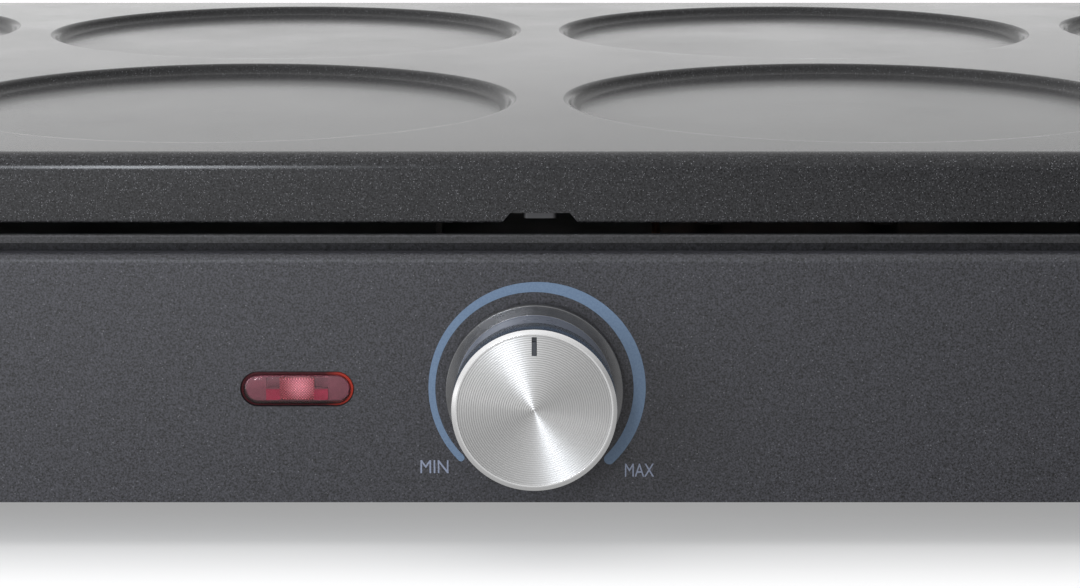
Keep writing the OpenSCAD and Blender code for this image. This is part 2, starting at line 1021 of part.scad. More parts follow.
module fuse_clip() {
    clip_r = fuse_r + 0.9;
    color("silver") placed()
        translate([fuse_x, fuse_y, shield_z])
            rotate([0, 90, 0])
                linear_extrude(6, center = true) {
                    difference() {
                        union() {
                            translate([fuse_r + 0.3, 0])
                                circle(clip_r);
                            translate([0, -clip_r])
                                square([fuse_r + 0.3, 2 * clip_r]);
                        }
                        translate([fuse_r + 0.3, 0])
                            circle(fuse_r);
                        translate([-clip_r, -fuse_r])
                            square([fuse_r + 0.3 + clip_r, 2 * fuse_r]);
                        translate([-2 * clip_r, -2 * clip_r])
                            square([2 * clip_r, 4 * clip_r]);
                    }
                    for (side = [-1, 1])
                        translate([0, side > 0 ? fuse_r : -fuse_r - 7])
                            square([0.9, 7]);
                }
}

// ---------------------------------------------------------------- thermostat

module thermostat_body() {
    color([0.16, 0.13, 0.11]) placed()
        translate([knob_x, stat_y, axis_z]) {
            difference() {
                union() {
                    translate([-stat_w / 2, 0, -stat_h / 2])
                        cube([stat_w, stat_l, stat_h]);
                    translate([-stat_w / 2 + 3, stat_l, -stat_h / 2 + 3])
                        cube([stat_w - 6, 3, stat_h - 6]);
                }
                translate([0, -1, 0])
                    rod_y(shaft_r + 0.5, 9);
            }
        }
}

// Threaded bush through the panel; the shaft turns in it
module thermostat_bush() {
    out = nut_t + bush_past;
    color([0.75, 0.62, 0.3]) placed()
        difference() {
            union() {
                translate([knob_x, front_y - out, axis_z])
                    rod_y(bush_r, out + shell_t + 1);
                translate([knob_x, front_y + shell_t, axis_z])
                    rod_y(bush_r + 2, stat_y - front_y - shell_t);
            }
            translate([knob_x, front_y - out - 1, axis_z])
                rod_y(shaft_r + run_gap, out + 8);
        }
}

module thermostat_nut() {
    color("silver") placed()
        difference() {
            translate([knob_x, front_y - nut_t, axis_z])
                towards_back()
                    cylinder(d = nut_w, h = nut_t, $fn = 6);
            translate([knob_x, front_y - nut_t - 1, axis_z])
                rod_y(bush_r, nut_t + 2);
        }
}

module thermostat_terminals() {
    color([0.75, 0.7, 0.5]) placed()
        for (x = [-stat_tag_x, stat_tag_x])
            translate([knob_x + x - 3.15, stat_y + stat_l + 3, axis_z - 0.4])
                cube([6.3, stat_tag, 0.8]);
}

// Liquid-filled bulb lying on the tray between two runs of the element
module sensor_bulb() {
    color([0.72, 0.45, 0.3]) placed()
        translate([tube_x, -bulb_y, pan_z + tray_t + 1 + bulb_d / 2])
            rotate([0, 90, 0])
                cylinder(d = bulb_d, h = bulb_l);
}

// Thin tube from the thermostat up through shield and tray to the bulb
module capillary_tube() {
    bulb_z = pan_z + tray_t + 1 + bulb_d / 2;
    low_z = axis_z + 4;
    r = tube_d / 2;
    color([0.72, 0.45, 0.3]) placed()
        wire([
            [knob_x + stat_w / 2 + r, stat_y + tube_out, low_z],
            [tube_x, stat_y + tube_out, low_z],
            [tube_x, tube_down_y, low_z],
            [tube_x, tube_down_y, bulb_z],
            [tube_x, -bulb_y - 8, bulb_z],
            [tube_x - 8, -bulb_y, bulb_z],
            [tube_x - r, -bulb_y, bulb_z]
        ], r);
}

module bulb_clips() {
    low = pan_z + tray_t;
    r = bulb_d / 2;
    color("silver") placed()
        for (x = [12, bulb_l - 12])
            translate([tube_x + x, -bulb_y, low])
                rotate([90, 0, 90])
                    linear_extrude(5, center = true)
                        difference() {
                            union() {
                                translate([0, 1 + r])
                                    circle(r + 0.8);
                                translate([-r - 0.8, 0])
                                    square([2 * r + 1.6, 1 + r]);
                                translate([-r - 5, 0])
                                    square([2 * r + 10, 0.8]);
                            }
                            translate([0, 1 + r])
                                circle(r);
                        }
}

// ---------------------------------------------------------------- knob

// D-shaped shaft outline
module shaft_outline(grow) {
    difference() {
        circle(shaft_r + grow);
        translate([-shaft_d, shaft_r - shaft_flat + grow])
            square([2 * shaft_d, shaft_d]);
    }
}

module thermostat_shaft() {
    back_y = stat_y + 6;
    d_len = 9;
    color("silver") placed()
        translate([knob_x, 0, axis_z]) {
            translate([0, shaft_tip_y + d_len, 0])
                rod_y(shaft_r, back_y - shaft_tip_y - d_len);
            translate([0, shaft_tip_y, 0])
                towards_back()
                    linear_extrude(d_len)
                        shaft_outline(0);
        }
}

// Moulded knob: flange, barrel and the rib that shows through the cap's slot
module knob_body() {
    neck_r = cap_d / 2 - cap_t;
    skirt_y = front_y - flange_gap;
    color([0.09, 0.09, 0.1]) placed()
        translate([knob_x, 0, axis_z])
            difference() {
                union() {
                    translate([0, flange_face_y, 0])
                        rod_y(flange_d / 2, flange_t);
                    translate([0, cap_back_y + barrel_gap, 0])
                        rod_y(barrel_d / 2, flange_face_y - cap_back_y - barrel_gap + eps);
                    translate([0, barrel_face_y, 0])
                        rod_y(neck_r, cap_back_y + barrel_gap - barrel_face_y + eps);
                    translate([-pointer_w / 2, knob_face_y + 0.25, pointer_low])
                        cube([pointer_w, cap_t, pointer_l]);
                }
                translate([0, skirt_y - knob_hollow, 0])
                    rod_y(bush_r + 4, knob_hollow + 1);
                translate([0, shaft_tip_y - 0.3, 0])
                    towards_back()
                        linear_extrude(knob_out)
                            shaft_outline(0.03);
                translate([-spring_w / 2 - 0.2, shaft_tip_y + 0.6, shaft_r - shaft_flat])
                    cube([spring_w + 0.4, 6, spring_t]);
            }
}

// Hollow in the back of the knob, over the nut
nut_room = 2.1;
knob_hollow = nut_t + bush_past + nut_room - flange_gap;
step_w = 0.3;
barrel_gap = 0.5;
spring_w = 4;
spring_t = 0.5;
pointer_land = 1.2;
pointer_low = cap_d / 2 - cap_bevel - step_w - pointer_l - pointer_land;

// Spun cap: polished chamfer, a plain step and a slightly sunk face with the pointer slot
module knob_cap() {
    r = cap_d / 2;
    color([0.8, 0.8, 0.81]) placed()
        translate([knob_x, knob_face_y, axis_z])
            difference() {
                towards_back()
                    rotate_extrude()
                        difference() {
                            polygon([
                                [0, 0.15],
                                [r - cap_bevel - step_w, 0.15],
                                [r - cap_bevel - step_w, 0],
                                [r - cap_bevel, 0],
                                [r, cap_bevel * 0.45],
                                [r, cap_h],
                                [0, cap_h]
                            ]);
                            translate([-1, cap_t])
                                square([r - cap_t + 1, cap_h]);
                        }
                translate([-pointer_w / 2, -1, pointer_low])
                    cube([pointer_w, cap_t + 2, pointer_l]);
            }
}

// Bent leaf that presses on the shaft's flat
module knob_spring() {
    color("silver") placed()
        translate([knob_x - spring_w / 2, shaft_tip_y + 1, axis_z + shaft_r - shaft_flat])
            cube([spring_w, 5, spring_t]);
}

// ---------------------------------------------------------------- pilot lamp

// Pill-shaped lens with a rounded rim, and a wider foot behind the panel
module pilot_lens() {
    color([0.85, 0.12, 0.16, 0.8]) placed()
        translate([lamp_x, front_y - lens_out, axis_z])
            towards_back() {
                translate([0, 0, lens_round])
                    linear_extrude(lens_deep - lens_round)
                        pill(lens_l, lens_h);
                linear_extrude(lens_round + eps)
                    pill(lens_l - 2 * lens_round, lens_h - 2 * lens_round);
                for (side = [-1, 1])
                    translate([side * (lens_l - lens_h) / 2, 0, lens_round])
                        rotate_extrude()
                            intersection() {
                                translate([lens_h / 2 - lens_round, 0])
                                    circle(lens_round);
                                translate([0, -lens_round])
                                    square([lens_h, lens_round + 0.2]);
                            }
                for (side = [-1, 1])
                    translate([0, side * (lens_h / 2 - lens_round), lens_round])
                        rotate([0, 90, 0])
                            cylinder(r = lens_round, h = lens_l - lens_h, center = true);
            }
}

module pilot_holder() {
    back = front_y + shell_t;
    color([0.1, 0.1, 0.1]) placed()
        translate([lamp_x, back, axis_z])
            difference() {
                towards_back() {
                    linear_extrude(holder_t)
                        pill(lamp_l + 6, lamp_h + 6);
                    linear_extrude(16)
                        pill(lamp_l + 2 * holder_t, lamp_h + 2 * holder_t);
                }
                translate([0, -1, 0])
                    towards_back()
                        linear_extrude(1 + lens_deep - lens_out - shell_t)
                            pill(lens_l, lens_h);
                translate([0, -1, 0])
                    towards_back()
                        linear_extrude(15)
                            pill(neon_l + 2, neon_d);
            }
}

module neon_lamp() {
    color([1, 0.6, 0.5, 0.6]) placed()
        translate([lamp_x, front_y - lens_out + lens_deep + neon_d / 2 + 0.6, axis_z])
            rotate([0, 90, 0]) {
                cylinder(d = neon_d, h = neon_l - neon_d, center = true);
                for (side = [-1, 1])
                    translate([0, 0, side * (neon_l - neon_d) / 2])
                        sphere(d = neon_d);
            }
}

// ---------------------------------------------------------------- mains side

// Bush with a flange outside and a thread inside; the lead would pass through its bore
module cord_gland() {
    color([0.07, 0.07, 0.07]) placed()
        translate([gland_x, rear_y, gland_z])
            difference() {
                union() {
                    rod_y(gland_r + 1, 2);
                    rod_y(gland_r - 1, gland_out);
                    translate([0, -gland_in, 0])
                        rod_y(gland_r - 2 - hole_gap, gland_in + 1);
                }
                translate([0, -gland_in - 1, 0])
                    rod_y(gland_hole_r, gland_in + gland_out + 2);
            }
}

module gland_nut() {
    color([0.1, 0.1, 0.1]) placed()
        translate([gland_x, rear_y - shell_t - 4, gland_z])
            difference() {
                towards_back()
                    cylinder(r = gland_r + 1, h = 4, $fn = 6);
                translate([0, -1, 0])
                    rod_y(gland_r - 2 - hole_gap, 6);
            }
}

module terminal_block() {
    color([0.92, 0.9, 0.84]) placed()
        translate([block_x, block_y, block_z])
            difference() {
                translate([-block_l / 2, -block_d / 2, 0])
                    cube([block_l, block_d, block_h]);
                for (i = [-1:1], side = [-1, 1])
                    translate([i * pole, side * clamp_y, block_h - 6])
                        cylinder(r = 2, h = 7);
            }
}

module terminal_screws() {
    color("silver") placed()
        for (i = [-1:1], side = [-1, 1])
            translate([block_x + i * pole, block_y + side * clamp_y, block_z + block_h - 6])
                cylinder(r = 1.9, h = 4);
}

module earth_stud() {
    color([0.75, 0.62, 0.3]) placed()
        translate([stud_x, stud_y, floor_z]) {
            cylinder(r = 2, h = stud_h);
            cylinder(d = 8, h = 3, $fn = 6);
        }
}

// Wires run above the floor, below the shield, and end straight
wire_r = wire_d / 2;
wire_lead = 14;
wire_run = 40;
stud_h = 9;
stud_x = gland_x + 22;
stud_y = rear_y - 22;
clamp_y = 5;
pole = block_l / 3;
wire_z = block_z + block_h + 4;
tag_z = leg_z - pin_l - tag_l - wire_r;
clamp_z = block_z + block_h - 2 + wire_r;
stat_back = stat_y + stat_l + stat_tag + 3 + wire_r;

module live_wires() {
    color([0.35, 0.2, 0.12]) placed() {
        wire([
            [block_x - pole, block_y - clamp_y, clamp_z],
            [block_x - pole, block_y - clamp_y, wire_z],
            [knob_x - stat_tag_x, block_y - wire_run, wire_z],
            [knob_x - stat_tag_x, stat_back + wire_lead, axis_z],
            [knob_x - stat_tag_x, stat_back, axis_z]
        ], wire_r);
        wire([
            [knob_x + stat_tag_x, stat_back, axis_z],
            [knob_x + stat_tag_x, stat_back + wire_lead, axis_z],
            [leg_x - wire_run, wire_lead - run_out, tag_z - tag_l / 2],
            [leg_x, -run_out, tag_z - tag_l / 2],
            [leg_x, -run_out, tag_z]
        ], wire_r);
    }
}

module neutral_wires() {
    color([0.15, 0.3, 0.6]) placed() {
        wire([
            [block_x, block_y - clamp_y, clamp_z],
            [block_x, block_y - clamp_y, wire_z + wire_d],
            [leg_x - wire_run, run_out - wire_run, wire_z + wire_d],
            [leg_x, run_out, tag_z - tag_l / 2],
            [leg_x, run_out, tag_z]
        ], wire_r);
    }
}

module earth_wire() {
    color([0.45, 0.6, 0.15]) placed()
        wire([
            [block_x + pole, block_y + clamp_y, clamp_z],
            [block_x + pole, block_y + clamp_y, wire_z],
            [stud_x, stud_y, wire_z],
            [stud_x, stud_y, floor_z + stud_h + wire_r]
        ], wire_r);
}

griddle_plate();
plate_tab();
tab_rivet();
shell_front();
shell_rear();
shell_left();
shell_right();
rim_frame();
bottom_cover();
pillars();
post_caps();
foot_front_left();
foot_front_right();
foot_rear_left();
foot_rear_right();
foot_screws();
cover_screws();
pillar_screws();
handle_left();
handle_right();
handle_screws();
reflector_tray();
heat_shield();
shield_clips();
heating_element();
element_supports();
element_bushes();
element_terminals();
thermal_fuse();
fuse_clip();
thermostat_body();
thermostat_bush();
thermostat_nut();
thermostat_terminals();
sensor_bulb();
capillary_tube();
bulb_clips();
thermostat_shaft();
knob_body();
knob_cap();
knob_spring();
pilot_lens();
pilot_holder();
neon_lamp();
cord_gland();
gland_nut();
terminal_block();
terminal_screws();
earth_stud();
live_wires();
neutral_wires();
earth_wire();
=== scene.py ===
# %% [markdown]
# # Dressing an electric crepe maker
# The object is a low steel case with a cast griddle plate on top, and one dial and one pilot
# lamp in the front panel. Its solids are already built, so this lesson starts by loading them.
# It then makes the visible pieces finer than the solids and gives each surface its finish.

# %% Load the frame
import json
import math

import bmesh
import bpy
from mathutils import Matrix, Vector


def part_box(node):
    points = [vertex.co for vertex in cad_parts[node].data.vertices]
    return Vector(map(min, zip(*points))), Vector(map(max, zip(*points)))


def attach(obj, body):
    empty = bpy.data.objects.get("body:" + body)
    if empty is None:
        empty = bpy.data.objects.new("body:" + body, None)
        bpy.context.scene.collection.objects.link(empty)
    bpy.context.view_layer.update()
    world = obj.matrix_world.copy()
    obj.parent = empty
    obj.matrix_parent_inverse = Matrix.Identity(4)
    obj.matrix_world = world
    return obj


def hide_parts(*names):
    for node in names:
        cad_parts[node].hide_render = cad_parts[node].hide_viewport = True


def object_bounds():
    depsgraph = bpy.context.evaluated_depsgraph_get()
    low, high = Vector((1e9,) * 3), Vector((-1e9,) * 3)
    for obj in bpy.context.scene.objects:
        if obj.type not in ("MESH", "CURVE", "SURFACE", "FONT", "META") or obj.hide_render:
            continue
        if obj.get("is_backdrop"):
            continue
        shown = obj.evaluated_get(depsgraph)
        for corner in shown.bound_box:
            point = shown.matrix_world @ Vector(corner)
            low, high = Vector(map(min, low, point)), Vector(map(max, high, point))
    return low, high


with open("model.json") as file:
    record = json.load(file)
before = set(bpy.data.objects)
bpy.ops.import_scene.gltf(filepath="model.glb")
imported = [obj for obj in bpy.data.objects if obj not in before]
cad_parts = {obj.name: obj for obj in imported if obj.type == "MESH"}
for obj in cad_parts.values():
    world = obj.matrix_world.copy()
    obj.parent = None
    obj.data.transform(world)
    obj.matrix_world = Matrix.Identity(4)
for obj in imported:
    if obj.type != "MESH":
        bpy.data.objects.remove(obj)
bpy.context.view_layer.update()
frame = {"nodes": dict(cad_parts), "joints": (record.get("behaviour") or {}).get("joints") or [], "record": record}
MM = 0.001
WELD = 2e-6  # points closer than this, in metres, become one
FINE_WELD = 1e-6  # the same for pieces whose details are smaller

# %% [markdown]
# ## Building blocks for node trees
# Every rule-made piece and every finish below is a node tree. Writing nodes out one by one in
# code is long, so short helpers write them into the tree that was opened last. They hand an
# output on as a Value, and a plain sign between values adds the Math node that does the sum.

# %% Values and nodes
class Bench:
    """Holds the tree that is being written."""
    tree = None


class Value:
    """A node's output. Plain signs reckon with it."""

    def __init__(self, socket):
        self.socket = socket


def plug(socket, value):
    """Joins a value to the socket, or sets the socket's own number, colour or option."""
    if isinstance(value, Value):
        Bench.tree.links.new(value.socket, socket)
    else:
        socket.default_value = value


def add(kind, inputs=None, **options):
    """Adds a node. Its options are set first, then its sockets, by name or by number."""
    node = Bench.tree.nodes.new(kind)
    for option, value in options.items():
        setattr(node, option, value)
    for key, value in (inputs or {}).items():
        plug(node.inputs[key], value)
    return node


def every(kind, inputs=None, **options):
    """All outputs of a new node, by name."""
    return {socket.name: Value(socket) for socket in add(kind, inputs, **options).outputs}


def shape(kind, inputs=None, **options):
    """First output of a new Geometry node."""
    return Value(add("GeometryNode" + kind, inputs, **options).outputs[0])


def shade(kind, inputs=None, **options):
    """First output of a new Shader node."""
    return Value(add("ShaderNode" + kind, inputs, **options).outputs[0])


def calc(operation, *values):
    """Output of a Math node."""
    return shade("Math", dict(enumerate(values)), operation=operation)


# %% Signs between values
def teach(sign, operation):
    """Lets a sign add a Math node, with the value on its left or on its right."""
    setattr(Value, f"__{sign}__", lambda left, right: calc(operation, left, right))
    setattr(Value, f"__r{sign}__", lambda right, left: calc(operation, left, right))


SIGNS = {"add": "ADD", "sub": "SUBTRACT", "mul": "MULTIPLY", "truediv": "DIVIDE", "pow": "POWER"}
for sign, operation in SIGNS.items():
    teach(sign, operation)
Value.__neg__ = lambda value: value * -1.0
print("signs that reckon with values:", list(SIGNS))


def point(x=0.0, y=0.0, z=0.0):
    """A vector from its three numbers."""
    return shade("CombineXYZ", {0: x, 1: y, 2: z})


def split(vector):
    """The three numbers of a vector."""
    return list(every("ShaderNodeSeparateXYZ", {0: vector}).values())


def fade(value, start, end, at_start, at_end):
    """Number that goes from one to another while a value goes from start to end."""
    return shade("MapRange", {0: value, 1: start, 2: end, 3: at_start, 4: at_end})


# %% [markdown]
# ## Groups and rules
# A group is a tree with named sockets, which other trees can use. A rule is a group that makes a
# mesh: it has a named input for each size, so a size is changed in one place. It always ends the
# same way, with copies made real and the finish set, so one helper ends them all.

# %% Group helpers
FINISHES = {}
SOCKETS = {int: "NodeSocketInt", float: "NodeSocketFloat", type(None): "NodeSocketGeometry"}


def open_group(name, kind, inputs, outputs):
    """Opens a group with named sockets, and hands out its inputs."""
    Bench.tree = bpy.data.node_groups.new(name, kind + "NodeTree")
    sockets = Bench.tree.interface
    for label, value in inputs.items():
        made = sockets.new_socket(label, in_out="INPUT", socket_type=SOCKETS[type(value)])
        if value is not None:
            made.default_value = value
    result = SOCKETS[float] if kind == "Shader" else SOCKETS[type(None)]
    for label in outputs:
        sockets.new_socket(label, in_out="OUTPUT", socket_type=result)
    return every("NodeGroupInput")


def close_group(**results):
    """Joins the group's outputs, and hands out the finished group."""
    sockets = Bench.tree.nodes.new("NodeGroupOutput").inputs
    for label, value in results.items():
        plug(sockets[label], value)
    return Bench.tree


def open_rule(name, sizes):
    """Opens a rule, and hands out its sizes."""
    return open_group(name, "Geometry", sizes, ("Mesh",))


def close_rule(geometry, slot):
    """Ends a rule: copies made real, finish set, mesh handed out."""
    real = shape("RealizeInstances", {0: geometry})
    return close_group(Mesh=shape("SetMaterial", {"Geometry": real, "Material": FINISHES[slot]}))


# %% Mesh helpers
def here():
    """Place of the point that a rule is working on."""
    return shape("InputPosition")


def join(*parts):
    """Several meshes as one."""
    node = add("GeometryNodeJoinGeometry")
    for part in reversed(parts):
        plug(node.inputs[0], part)
    return Value(node.outputs[0])


def merge(geometry):
    """One point in place of all that lie closer than the weld distance."""
    return shape("MergeByDistance", {0: geometry, "Distance": WELD})


def flip(geometry):
    """The same faces, looking the other way."""
    return shape("FlipFaces", {0: geometry})


def shift(geometry, offset):
    """The geometry, moved."""
    return shape("Transform", {0: geometry, "Translation": offset})


def grid(width, depth, columns, rows):
    """Flat grid of points round the origin."""
    return shape("MeshGrid", {"Size X": width, "Size Y": depth,
                              "Vertices X": columns, "Vertices Y": rows})


def copies(points, piece):
    """Copies of a piece on points, made real."""
    spread = shape("InstanceOnPoints", {"Points": points, "Instance": piece})
    return shape("RealizeInstances", {0: spread})


def block(x, y, z, centre):
    """A box of the given size at a place."""
    return shift(shape("MeshCube", {"Size": point(x, y, z)}), centre)


def carve(body, *tools):
    """The body without the tools. All faces have to look outwards for this."""
    for tool in tools:
        body = shape("MeshBoolean", {0: body, 1: tool}, operation="DIFFERENCE", solver="EXACT")
    return body


# %% [markdown]
# ## From rule to piece
# A rule's result lives only in a modifier, but every piece here has to end as a plain mesh with
# its place in its own points. So the modifier is evaluated once, its result kept, and the
# modifier dropped. Edges sharper than a given angle stay crisp and all others are shaded smooth.

# %% Finishing helpers
def put(name, data):
    """A new object in the scene."""
    made = bpy.data.objects.new(name, data)
    bpy.context.scene.collection.objects.link(made)
    return made


def freeze(host):
    """The mesh of an object as its modifiers leave it."""
    graph = bpy.context.evaluated_depsgraph_get()
    return bpy.data.meshes.new_from_object(host.evaluated_get(graph), depsgraph=graph)


def open_edges(mesh):
    """Number of edges that don't have two faces."""
    counts = [0] * len(mesh.edges)
    for loop in mesh.loops:
        counts[loop.edge_index] += 1
    return sum(1 for count in counts if count != 2)


def settle(name, mesh, body, sharp=30.0, place=None, recalc=True):
    """Finishes a mesh as a piece: closes it, shades it, names it and makes it ride."""
    bm = bmesh.new()
    bm.from_mesh(mesh)
    bmesh.ops.remove_doubles(bm, verts=bm.verts, dist=FINE_WELD)
    loose = [vert for vert in bm.verts if not vert.link_faces]
    bmesh.ops.delete(bm, geom=loose, context="VERTS")
    if recalc:
        bmesh.ops.recalc_face_normals(bm, faces=bm.faces)
    if place is not None:
        bm.transform(place)
    bm.to_mesh(mesh)
    bm.free()
    mesh.shade_smooth()
    mesh.set_sharp_from_angle(angle=math.radians(sharp))
    mesh.name = name
    piece = put(name, mesh)
    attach(piece, body)
    print(f"{name}: {len(mesh.polygons)} faces, {open_edges(mesh)} open edges")
    return piece


def grow(rule, name, body, sizes, sharp=30.0, place=None, recalc=True):
    """Runs a rule with the given sizes and settles its result as a piece."""
    host = put(name + "_host", bpy.data.meshes.new(name + "_host"))
    live = host.modifiers.new("rule", "NODES")
    live.node_group = rule
    for item in rule.interface.items_tree:
        if item.in_out == "INPUT":
            live[item.identifier] = sizes[item.name]
    mesh = freeze(host)
    host.modifiers.clear()
    bpy.data.objects.remove(host)
    return settle(name, mesh, body, sharp, place, recalc)


def dress(piece, slot, chosen):
    """Gives another finish to the faces whose centre passes the test."""
    piece.data.materials.append(FINISHES[slot])
    index = len(piece.data.materials) - 1
    faces = [face for face in piece.data.polygons if chosen(face.center)]
    for face in faces:
        face.material_index = index
    print(f"{piece.name}: {len(faces)} faces in {slot}")


# %% [markdown]
# ## One rule for turned and folded shapes
# The plate's skirt, its round recesses, the dial and the lamp's lens are all one profile taken
# round a path with true round corners: a circle where the corners share a centre, a rounded
# rectangle where they don't. They could be modelled one by one, but a single group that turns a
# profile round four corner centres makes them all, and they then fit each other exactly.

# %% Turn a profile
def turner_group():
    """Bends a flat grid: its rows follow the profile, its columns go round the four corners."""
    given = open_group("Turn a profile", "Geometry",
                       {"Profile": None, "Half X": 0.0, "Half Y": 0.0, "Steps": 0}, ("Mesh",))
    count = shape("AttributeDomainSize", {0: given["Profile"]}, component="CURVE")
    span = given["Steps"] + 1.0
    columns = span * 4.0
    flat = grid(1.0, 1.0, columns + 1.0, count)
    across, up, _ = split(here())
    column = calc("ROUND", (across + 0.5) * columns)
    row = calc("ROUND", (up + 0.5) * (count - 1.0))
    quarter = calc("FLOOR", (column + 0.01) / span)
    within = column - quarter * span
    angle = (quarter + within / given["Steps"]) * (math.pi / 2)
    middle = (quarter + 0.5) * (math.pi / 2)
    sampled = shape("SampleIndex", {"Geometry": given["Profile"], "Value": here(), "Index": row},
                    data_type="FLOAT_VECTOR", domain="POINT")
    reach, height, _ = split(sampled)
    ends = []
    for swing, half in (("COSINE", given["Half X"]), ("SINE", given["Half Y"])):
        corner = calc("SIGN", calc(swing, middle)) * half
        ends.append(corner + calc(swing, angle) * reach)
    moved = shape("SetPosition", {"Geometry": flat, "Position": point(ends[0], ends[1], height)})
    return close_group(Mesh=merge(moved))


TURNER = turner_group()
print("turner:", len(TURNER.nodes), "nodes")


def turned(profile, steps, half_x=0.0, half_y=0.0):
    """A profile turned round a circle, or swept round a rounded rectangle."""
    return shape("Group", {"Profile": profile, "Half X": half_x, "Half Y": half_y,
                           "Steps": steps}, node_tree=TURNER)


# %% Rounded paths
def path(corners, steps):
    """A line through (x, y, z, rounding) corners, each rounded by its own radius."""
    switches = []
    for kind in ("VECTOR", "FLOAT"):
        switch = add("GeometryNodeIndexSwitch", data_type=kind)
        while len(switch.index_switch_items) < len(corners):
            switch.index_switch_items.new()
        plug(switch.inputs[0], shape("InputIndex"))
        switches.append(switch)
    places, roundings = switches
    for number, (x, y, z, rounding) in enumerate(corners, 1):
        plug(places.inputs[number], point(x, y, z))
        plug(roundings.inputs[number], rounding)
    line = shape("MeshLine", {"Count": len(corners)})
    bent = shape("SetPosition", {0: line, "Position": Value(places.outputs[0])})
    return shape("FilletCurve", {
        "Curve": shape("MeshToCurve", {0: bent}), "Count": steps,
        "Radius": Value(roundings.outputs[0]), "Limit Radius": True}, mode="POLY")


def outline(corners, steps=6):
    """A profile through (reach, height, rounding) corners."""
    return path([(reach, height, 0.0, rounding) for reach, height, rounding in corners], steps)


def sheet_at(shell, height):
    """Flat face that closes every open rim of a shell at one height, holes left open."""
    faces_beside, near_one, near_height = 1.0, 0.1, 0.02 * MM
    rim = calc("COMPARE", shape("InputMeshEdgeNeighbors"), faces_beside, near_one)
    flat = calc("COMPARE", split(here())[2], height, near_height)
    edges = shape("MeshToCurve", {0: shell, "Selection": rim * flat})
    face = shape("FillCurve", {0: edges}, mode="TRIANGLES")
    return shift(face, point(0.0, 0.0, height))


# %% [markdown]
# ## Shared surface effects
# Powder paint, sprayed coating, mouldings and rolled sheet all owe their look to something much
# smaller than the piece. Each effect is one shader group with named inputs, so that every
# finish can use it at its own scale. A group hands out a mask or a height; the shader itself
# stays in the material. All patterns read Object coordinates in metres, so they stay put.

# %% Effects
def coordinates():
    """Object coordinates, in metres."""
    return every("ShaderNodeTexCoord")["Object"]


def grain_group():
    """Rounded bumps of a set size, with a slower drift over many of them."""
    given = open_group("Fine grain", "Shader", {"Size mm": 0.4, "Drift mm": 25.0}, ("Grain", "Drift"))
    made = {}
    for label, size, detail in (("Grain", "Size mm", 2.0), ("Drift", "Drift mm", 3.0)):
        made[label] = shade("TexNoise", {"Vector": coordinates(), "Scale": 1000.0 / given[size],
                                         "Detail": detail, "Roughness": 0.6})
    return close_group(**made)


def flake_group():
    """Bright specks, each with its own size and brightness, like metal flakes in a coating."""
    given = open_group("Flakes", "Shader", {"Size mm": 0.3, "Share": 0.06}, ("Flake",))
    cells = every("ShaderNodeTexVoronoi",
                  {"Vector": coordinates(), "Scale": 1000.0 / given["Size mm"]})
    luck, size, shine = every("ShaderNodeSeparateColor", {0: cells["Color"]}).values()
    kept = calc("GREATER_THAN", luck, 1.0 - given["Share"])
    inside = calc("LESS_THAN", cells["Distance"], calc("MULTIPLY_ADD", size, 0.3, 0.2))
    return close_group(Flake=kept * inside * shine ** 3.0)


def streak_group():
    """Long fine lines along X, as rolling or brushing leaves them."""
    given = open_group("Streaks", "Shader", {"Width mm": 0.12}, ("Streak",))
    stretched = shade("VectorMath", {0: coordinates(), 1: (0.02, 1.0, 1.0)}, operation="MULTIPLY")
    lines = shade("TexNoise", {"Vector": stretched, "Scale": 1000.0 / given["Width mm"],
                               "Detail": 2.0})
    return close_group(Streak=lines)


GRAIN = grain_group()
FLAKES = flake_group()
STREAKS = streak_group()
print("effects:", [group.name for group in (GRAIN, FLAKES, STREAKS)])

# %% [markdown]
# ## Opening and filling a finish
# A finish is a material named after its slot. Masks from noise seldom leave the range from 0.3
# to 0.7, so that range is what goes from the dark tone to the light one, or from one gloss to
# another. A relief gets its real depth, so that it looks right from any distance.

# %% Finish helpers
NOISE_RANGE = (0.3, 0.7)


def use(group, *values):
    """Outputs of an effect, placed in the open finish with its own values."""
    return list(every("ShaderNodeGroup", dict(enumerate(values)), node_tree=group).values())


def tone(mask, dark, light):
    """Colour from dark to light while a mask goes over the range of noise."""
    ramp = add("ShaderNodeValToRGB", {0: mask})
    for element, place, colour in zip(ramp.color_ramp.elements, NOISE_RANGE, (dark, light)):
        element.position = place
        element.color = (*colour, 1.0)
    return Value(ramp.outputs[0])


def level(mask, low, high):
    """Number from low to high while a mask goes over the range of noise."""
    return fade(mask, *NOISE_RANGE, low, high)


def mix_colours(share, first, second):
    """Colour between two, by a share."""
    node = add("ShaderNodeMix", {0: share, 6: first, 7: second}, data_type="RGBA")
    return Value(node.outputs[2])


def relief(height, depth_mm):
    """Normal from a height, with the relief's real depth."""
    return shade("Bump", {"Height": height, "Distance": depth_mm * MM, "Strength": 1.0})


def finish(slot):
    """Opens a new finish for a slot."""
    material = bpy.data.materials.new(slot)
    material.use_nodes = True
    Bench.tree = material.node_tree
    FINISHES[slot] = material


def fill(**values):
    """Fills sockets of the open finish's shader."""
    shader = Bench.tree.nodes["Principled BSDF"]
    for label, value in values.items():
        plug(shader.inputs[label.replace("_", " ")], value)


def grey(value, blue=1.0):
    """A grey, with its blue a little stronger or weaker."""
    return (value, value, value * blue)
